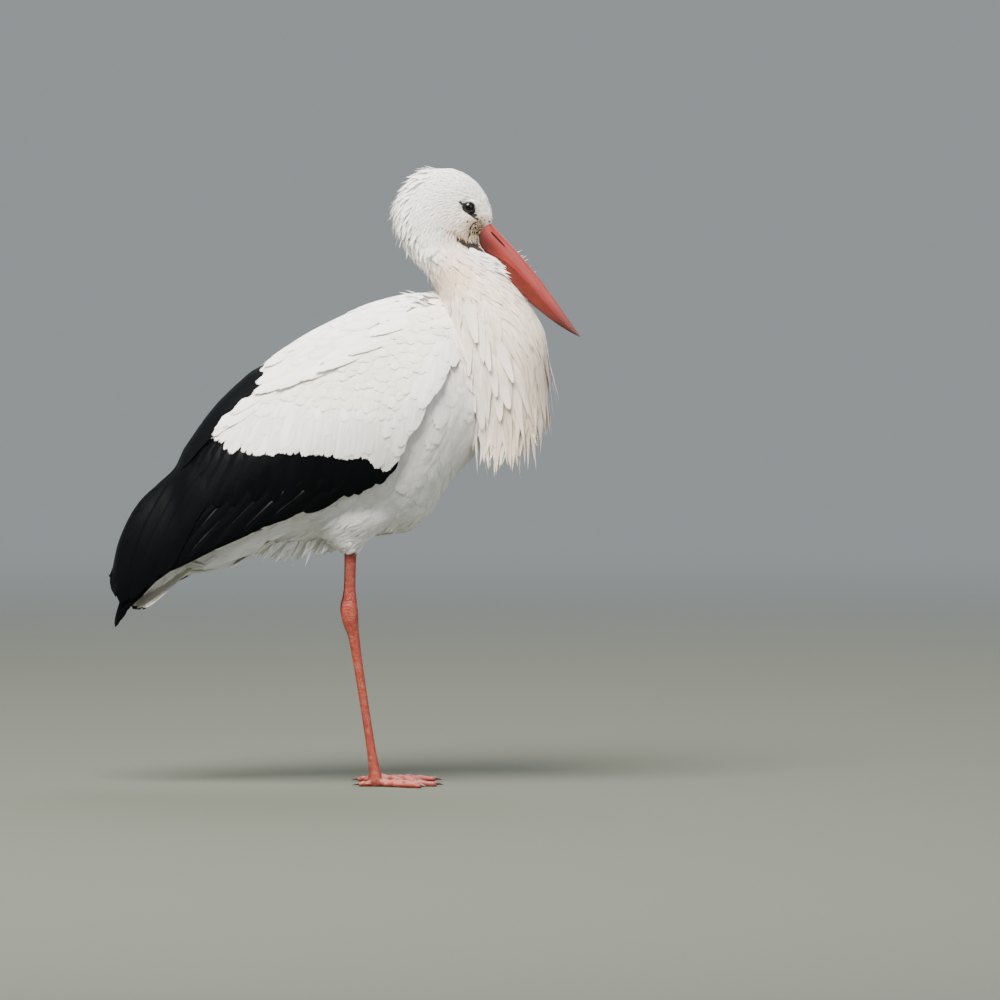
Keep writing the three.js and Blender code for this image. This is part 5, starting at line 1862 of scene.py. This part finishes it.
FOLD_END = {"right": -400, "left": -243}
WORN = linear("#514e4b")
WORN_SHARES = [0, 0.55, 0.9, 0.2, 0.9, 0.75, 0.3, 0, 0, 0.25, 0, 0.2, 0]  # the pale edge of each primary
SOOT = linear("#030406")


def build_wing(side, name, droop, materials):
    rng = seeded(60 + side)
    place = on_wing(side, droop)
    groups = {"primaries": [], "secondaries": [], "tertials": []}
    for index, (root, middle, tip, breadth) in enumerate(PRIMARIES):
        path = shaft_path(root, middle, tip, LONG_ROWS)
        spare = np.maximum(0, FOLD_END[name] - tip[0])  # the other wing is folded a little shorter
        path = np.asarray(root) + (path - root) * (1 - 0.7 * spare / (root[0] - tip[0]))
        tint = SOOT * rng.uniform(0.8, 1.25)
        groups["primaries"].append(long_feather(path, breadth, 2.3 - 0.13 * index, place, tint, rng, 0.36, 3,
                                                WORN_SHARES[index]))
    # The front secondaries lie twice as close, each between the places of the next two.
    for index in np.concatenate([np.arange(0, 4, 0.5), np.arange(4, len(SECONDARY_TIPS))]):
        root, tip = (np.array([np.interp(index, np.arange(len(table)), column) for column in table.T])
                     for table in (SECONDARY_ROOTS, SECONDARY_TIPS))
        middle = (root + tip) / 2 + np.array([-3, 1])
        path = shaft_path(root, middle, tip + rng.normal(0, 1.5, 2), LONG_ROWS)
        tint = SOOT * rng.uniform(0.8, 1.25)
        groups["secondaries"].append(long_feather(path, 28, 1.9 + 0.06 * index, place, tint, rng, 0.42, 3))
    for index, (root, middle, tip, breadth) in enumerate(TERTIALS):
        path = shaft_path(root, middle, tip, LONG_ROWS)
        tint = SOOT * rng.uniform(0.8, 1.3)
        groups["tertials"].append(long_feather(path, breadth, 3.4 + 0.2 * index, place, tint, rng, 0.24, 2))
    pieces = []
    for group, feathers in groups.items():
        pieces.append(feather_piece(f"{group}_{name}", feathers, materials["black"]))
        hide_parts(f"wing_{name}_{group}")
    return pieces


TAIL = {"root": [-150, 320], "tip": [-266, 224], "feathers": 6, "spread": 18, "breadth": 21}


def build_tail(materials):
    """Twelve tail feathers, folded to a narrow fan under the wings' tips."""
    rng = seeded(80)
    root, tip = np.array(TAIL["root"], float), np.array(TAIL["tip"], float)
    heading = unit(tip - root)
    upward = np.array([heading[1], -heading[0]])
    length = np.linalg.norm(tip - root)
    feathers = []
    for index in range(TAIL["feathers"]):
        for side in (-1, 1):
            share = (index + 0.4) / TAIL["feathers"]

            def place(flat, height, share=share, side=side):
                along, off = flat[..., 0], flat[..., 1]
                y = side * (4 + TAIL["spread"] * share * along / length) + off
                drop = -6 * (np.abs(y) / 24) ** 2
                spot = root + heading * along[..., None] + upward * (height + drop)[..., None]
                return stacked(spot[..., 0], y, spot[..., 1])

            reach = length * (1 - 0.07 * share) + rng.normal(0, 2)
            path = shaft_path([0, 0], [reach / 2, side * 1.0], [reach, 0], LONG_ROWS)
            tint = linear("#e9e3d2") * rng.uniform(0.94, 1.04)
            feathers.append(long_feather(path, TAIL["breadth"], -1.2 * index + 0.3 * side, place, tint, rng,
                                         0.2, 3))
    tail = feather_piece("tail_feathers", feathers, materials["white"])
    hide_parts("tail")
    return tail


def make_wings(tree, vanes, materials):
    form = wing_form()
    surface = surface_of(form)
    pieces = [build_tail(materials)]
    for side, name, droop in ((-1, "right", 0), (1, "left", 21)):
        rng = seeded(40 + side)
        for group, vane, roots in (("coverts", "covert", covert_roots(side, rng)),
                                   ("scapulars", "contour", scapular_roots(side, surface, rng))):
            coat = lay_coat(f"{group}_{name}", tree, roots, vanes[vane], form, materials["white"])
            pieces.append(coat)
        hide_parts(f"wing_{name}_coverts")
        pieces += build_wing(side, name, droop, materials)
    remove(form)
    return pieces


# ==== Camera, lights and floor ====
CAMERA_AIM = np.array([193, 0, 356])
CAMERA_DISTANCE = 12000
CAMERA_RISE = math.radians(3)
FIELD_WIDTH = 1250  # what the camera takes in across, at the bird
SENSOR = 36
BACKDROP = "#b9c0c3"
BACKDROP_STRENGTH = 0.62
FLOOR = "#53564f"
FLOOR_HALF = 40000
FLOOR_FADE = (1.2, 5.5)  # where the floor starts to fade and where it is gone, in metres


def place_camera():
    data = bpy.data.cameras.new("camera")
    data.sensor_width = SENSOR
    data.lens = SENSOR * CAMERA_DISTANCE / FIELD_WIDTH
    data.clip_end = 200
    camera = bpy.data.objects.new("camera", data)
    back = np.array([0, -math.cos(CAMERA_RISE), math.sin(CAMERA_RISE)])
    camera.location = Vector((CAMERA_AIM + back * CAMERA_DISTANCE) * MM)
    camera.rotation_euler = Vector(-back).to_track_quat("-Z", "Y").to_euler()
    bpy.context.scene.collection.objects.link(camera)
    bpy.context.scene.camera = camera


def soft_light(name, place, aim, size, power, colour):
    """A round lamp: its place, what it points at and its width in metres, its power in watts."""
    data = bpy.data.lights.new(name, "AREA")
    data.shape = "DISK"
    data.size = size
    data.energy = power
    data.color = linear(colour)
    light = bpy.data.objects.new(name, data)
    light.location = place
    light.rotation_euler = (Vector(aim) - Vector(place)).to_track_quat("-Z", "Y").to_euler()
    bpy.context.scene.collection.objects.link(light)


def light_stage():
    soft_light("key light", (-1.0, -2.3, 4.5), (0, 0, 0.45), 3.2, 1150, "#fffaf3")
    soft_light("fill light", (2.9, -2.8, 1.9), (0, 0, 0.45), 3.4, 65, "#f4f6ff")
    soft_light("back light", (0.8, 2.6, 3.4), (0, 0, 0.5), 3.0, 220, "#ffffff")
    world = bpy.data.worlds.new("studio")
    world.use_nodes = True
    backdrop = world.node_tree.nodes["Background"].inputs
    backdrop["Color"].default_value = rgba(BACKDROP)
    backdrop["Strength"].default_value = BACKDROP_STRENGTH
    bpy.context.scene.world = world


def lay_floor():
    """A plain pale floor that fades into the backdrop a few metres off, so that no horizon shows."""
    corners = [[x * FLOOR_HALF, y * FLOOR_HALF, 0] for x, y in ((-1, -1), (1, -1), (1, 1), (-1, 1))]
    floor = new_mesh("floor", corners, [[0, 1, 2, 3]])
    material, tree, surface = new_material("pale studio floor", {
        "Roughness": 0.85, "Specular IOR Level": 0.0, "Emission Strength": BACKDROP_STRENGTH})
    place = read_node(tree, "place")
    away = add_node(tree, "ShaderNodeVectorMath", {0: place}, operation="LENGTH").outputs["Value"]
    fade = read_node(tree, "range", away, *FLOOR_FADE, interpolation_type="SMOOTHERSTEP")
    black = (0, 0, 0, 1)
    for socket, near, far in (("Base Color", rgba(FLOOR), black), ("Emission Color", black, rgba(BACKDROP))):
        tree.links.new(read_node(tree, "mix", fade, near, far), surface.inputs[socket])
    floor.data.materials.append(material)


# ==== The whole bird ====
place_camera()
light_stage()
lay_floor()
MATERIALS = {
    "skin": skin_material(),
    "leg": leg_material(),
    "bill": bill_material(),
    "eye": eye_material(),
    "claw": claw_material(),
    "white": feather_material("white feather", roughness=0.75, barbs=26, strength=0.15, root_shade=0.97,
                              sheen=0.1, gloss=0.25, glow=0.3),
    "black": feather_material("glossy black feather", roughness=0.42, barbs=90, strength=0.2,
                              root_shade=0.95, sheen=0.0, gloss=0.08, glow=0.0),
}
skin = build_skin(MATERIALS)
set_attribute(skin, "out", "FLOAT_VECTOR", normals_of(skin))
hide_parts("head", "neck", "breast_plumes", "trunk", "thigh_right", "thigh_left",
            *[f"{bone}_{side}" for bone in ("shin", "ankle", "shank") for side in ("right", "left")],
            *[f"toe_{side}_{toe['name']}" for toe in TOES for side in ("right", "left")])
tree = coat_tree()
vanes = make_vanes()
coats = make_body_coat(skin, tree, vanes, MATERIALS["white"])
wings = make_wings(tree, vanes, MATERIALS)
remove_vanes(vanes)
bird = [skin, *coats, *wings, *build_bill(MATERIALS), *build_eyes(MATERIALS), *build_claws(MATERIALS)]
for piece in bird:
    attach(piece, BODY)
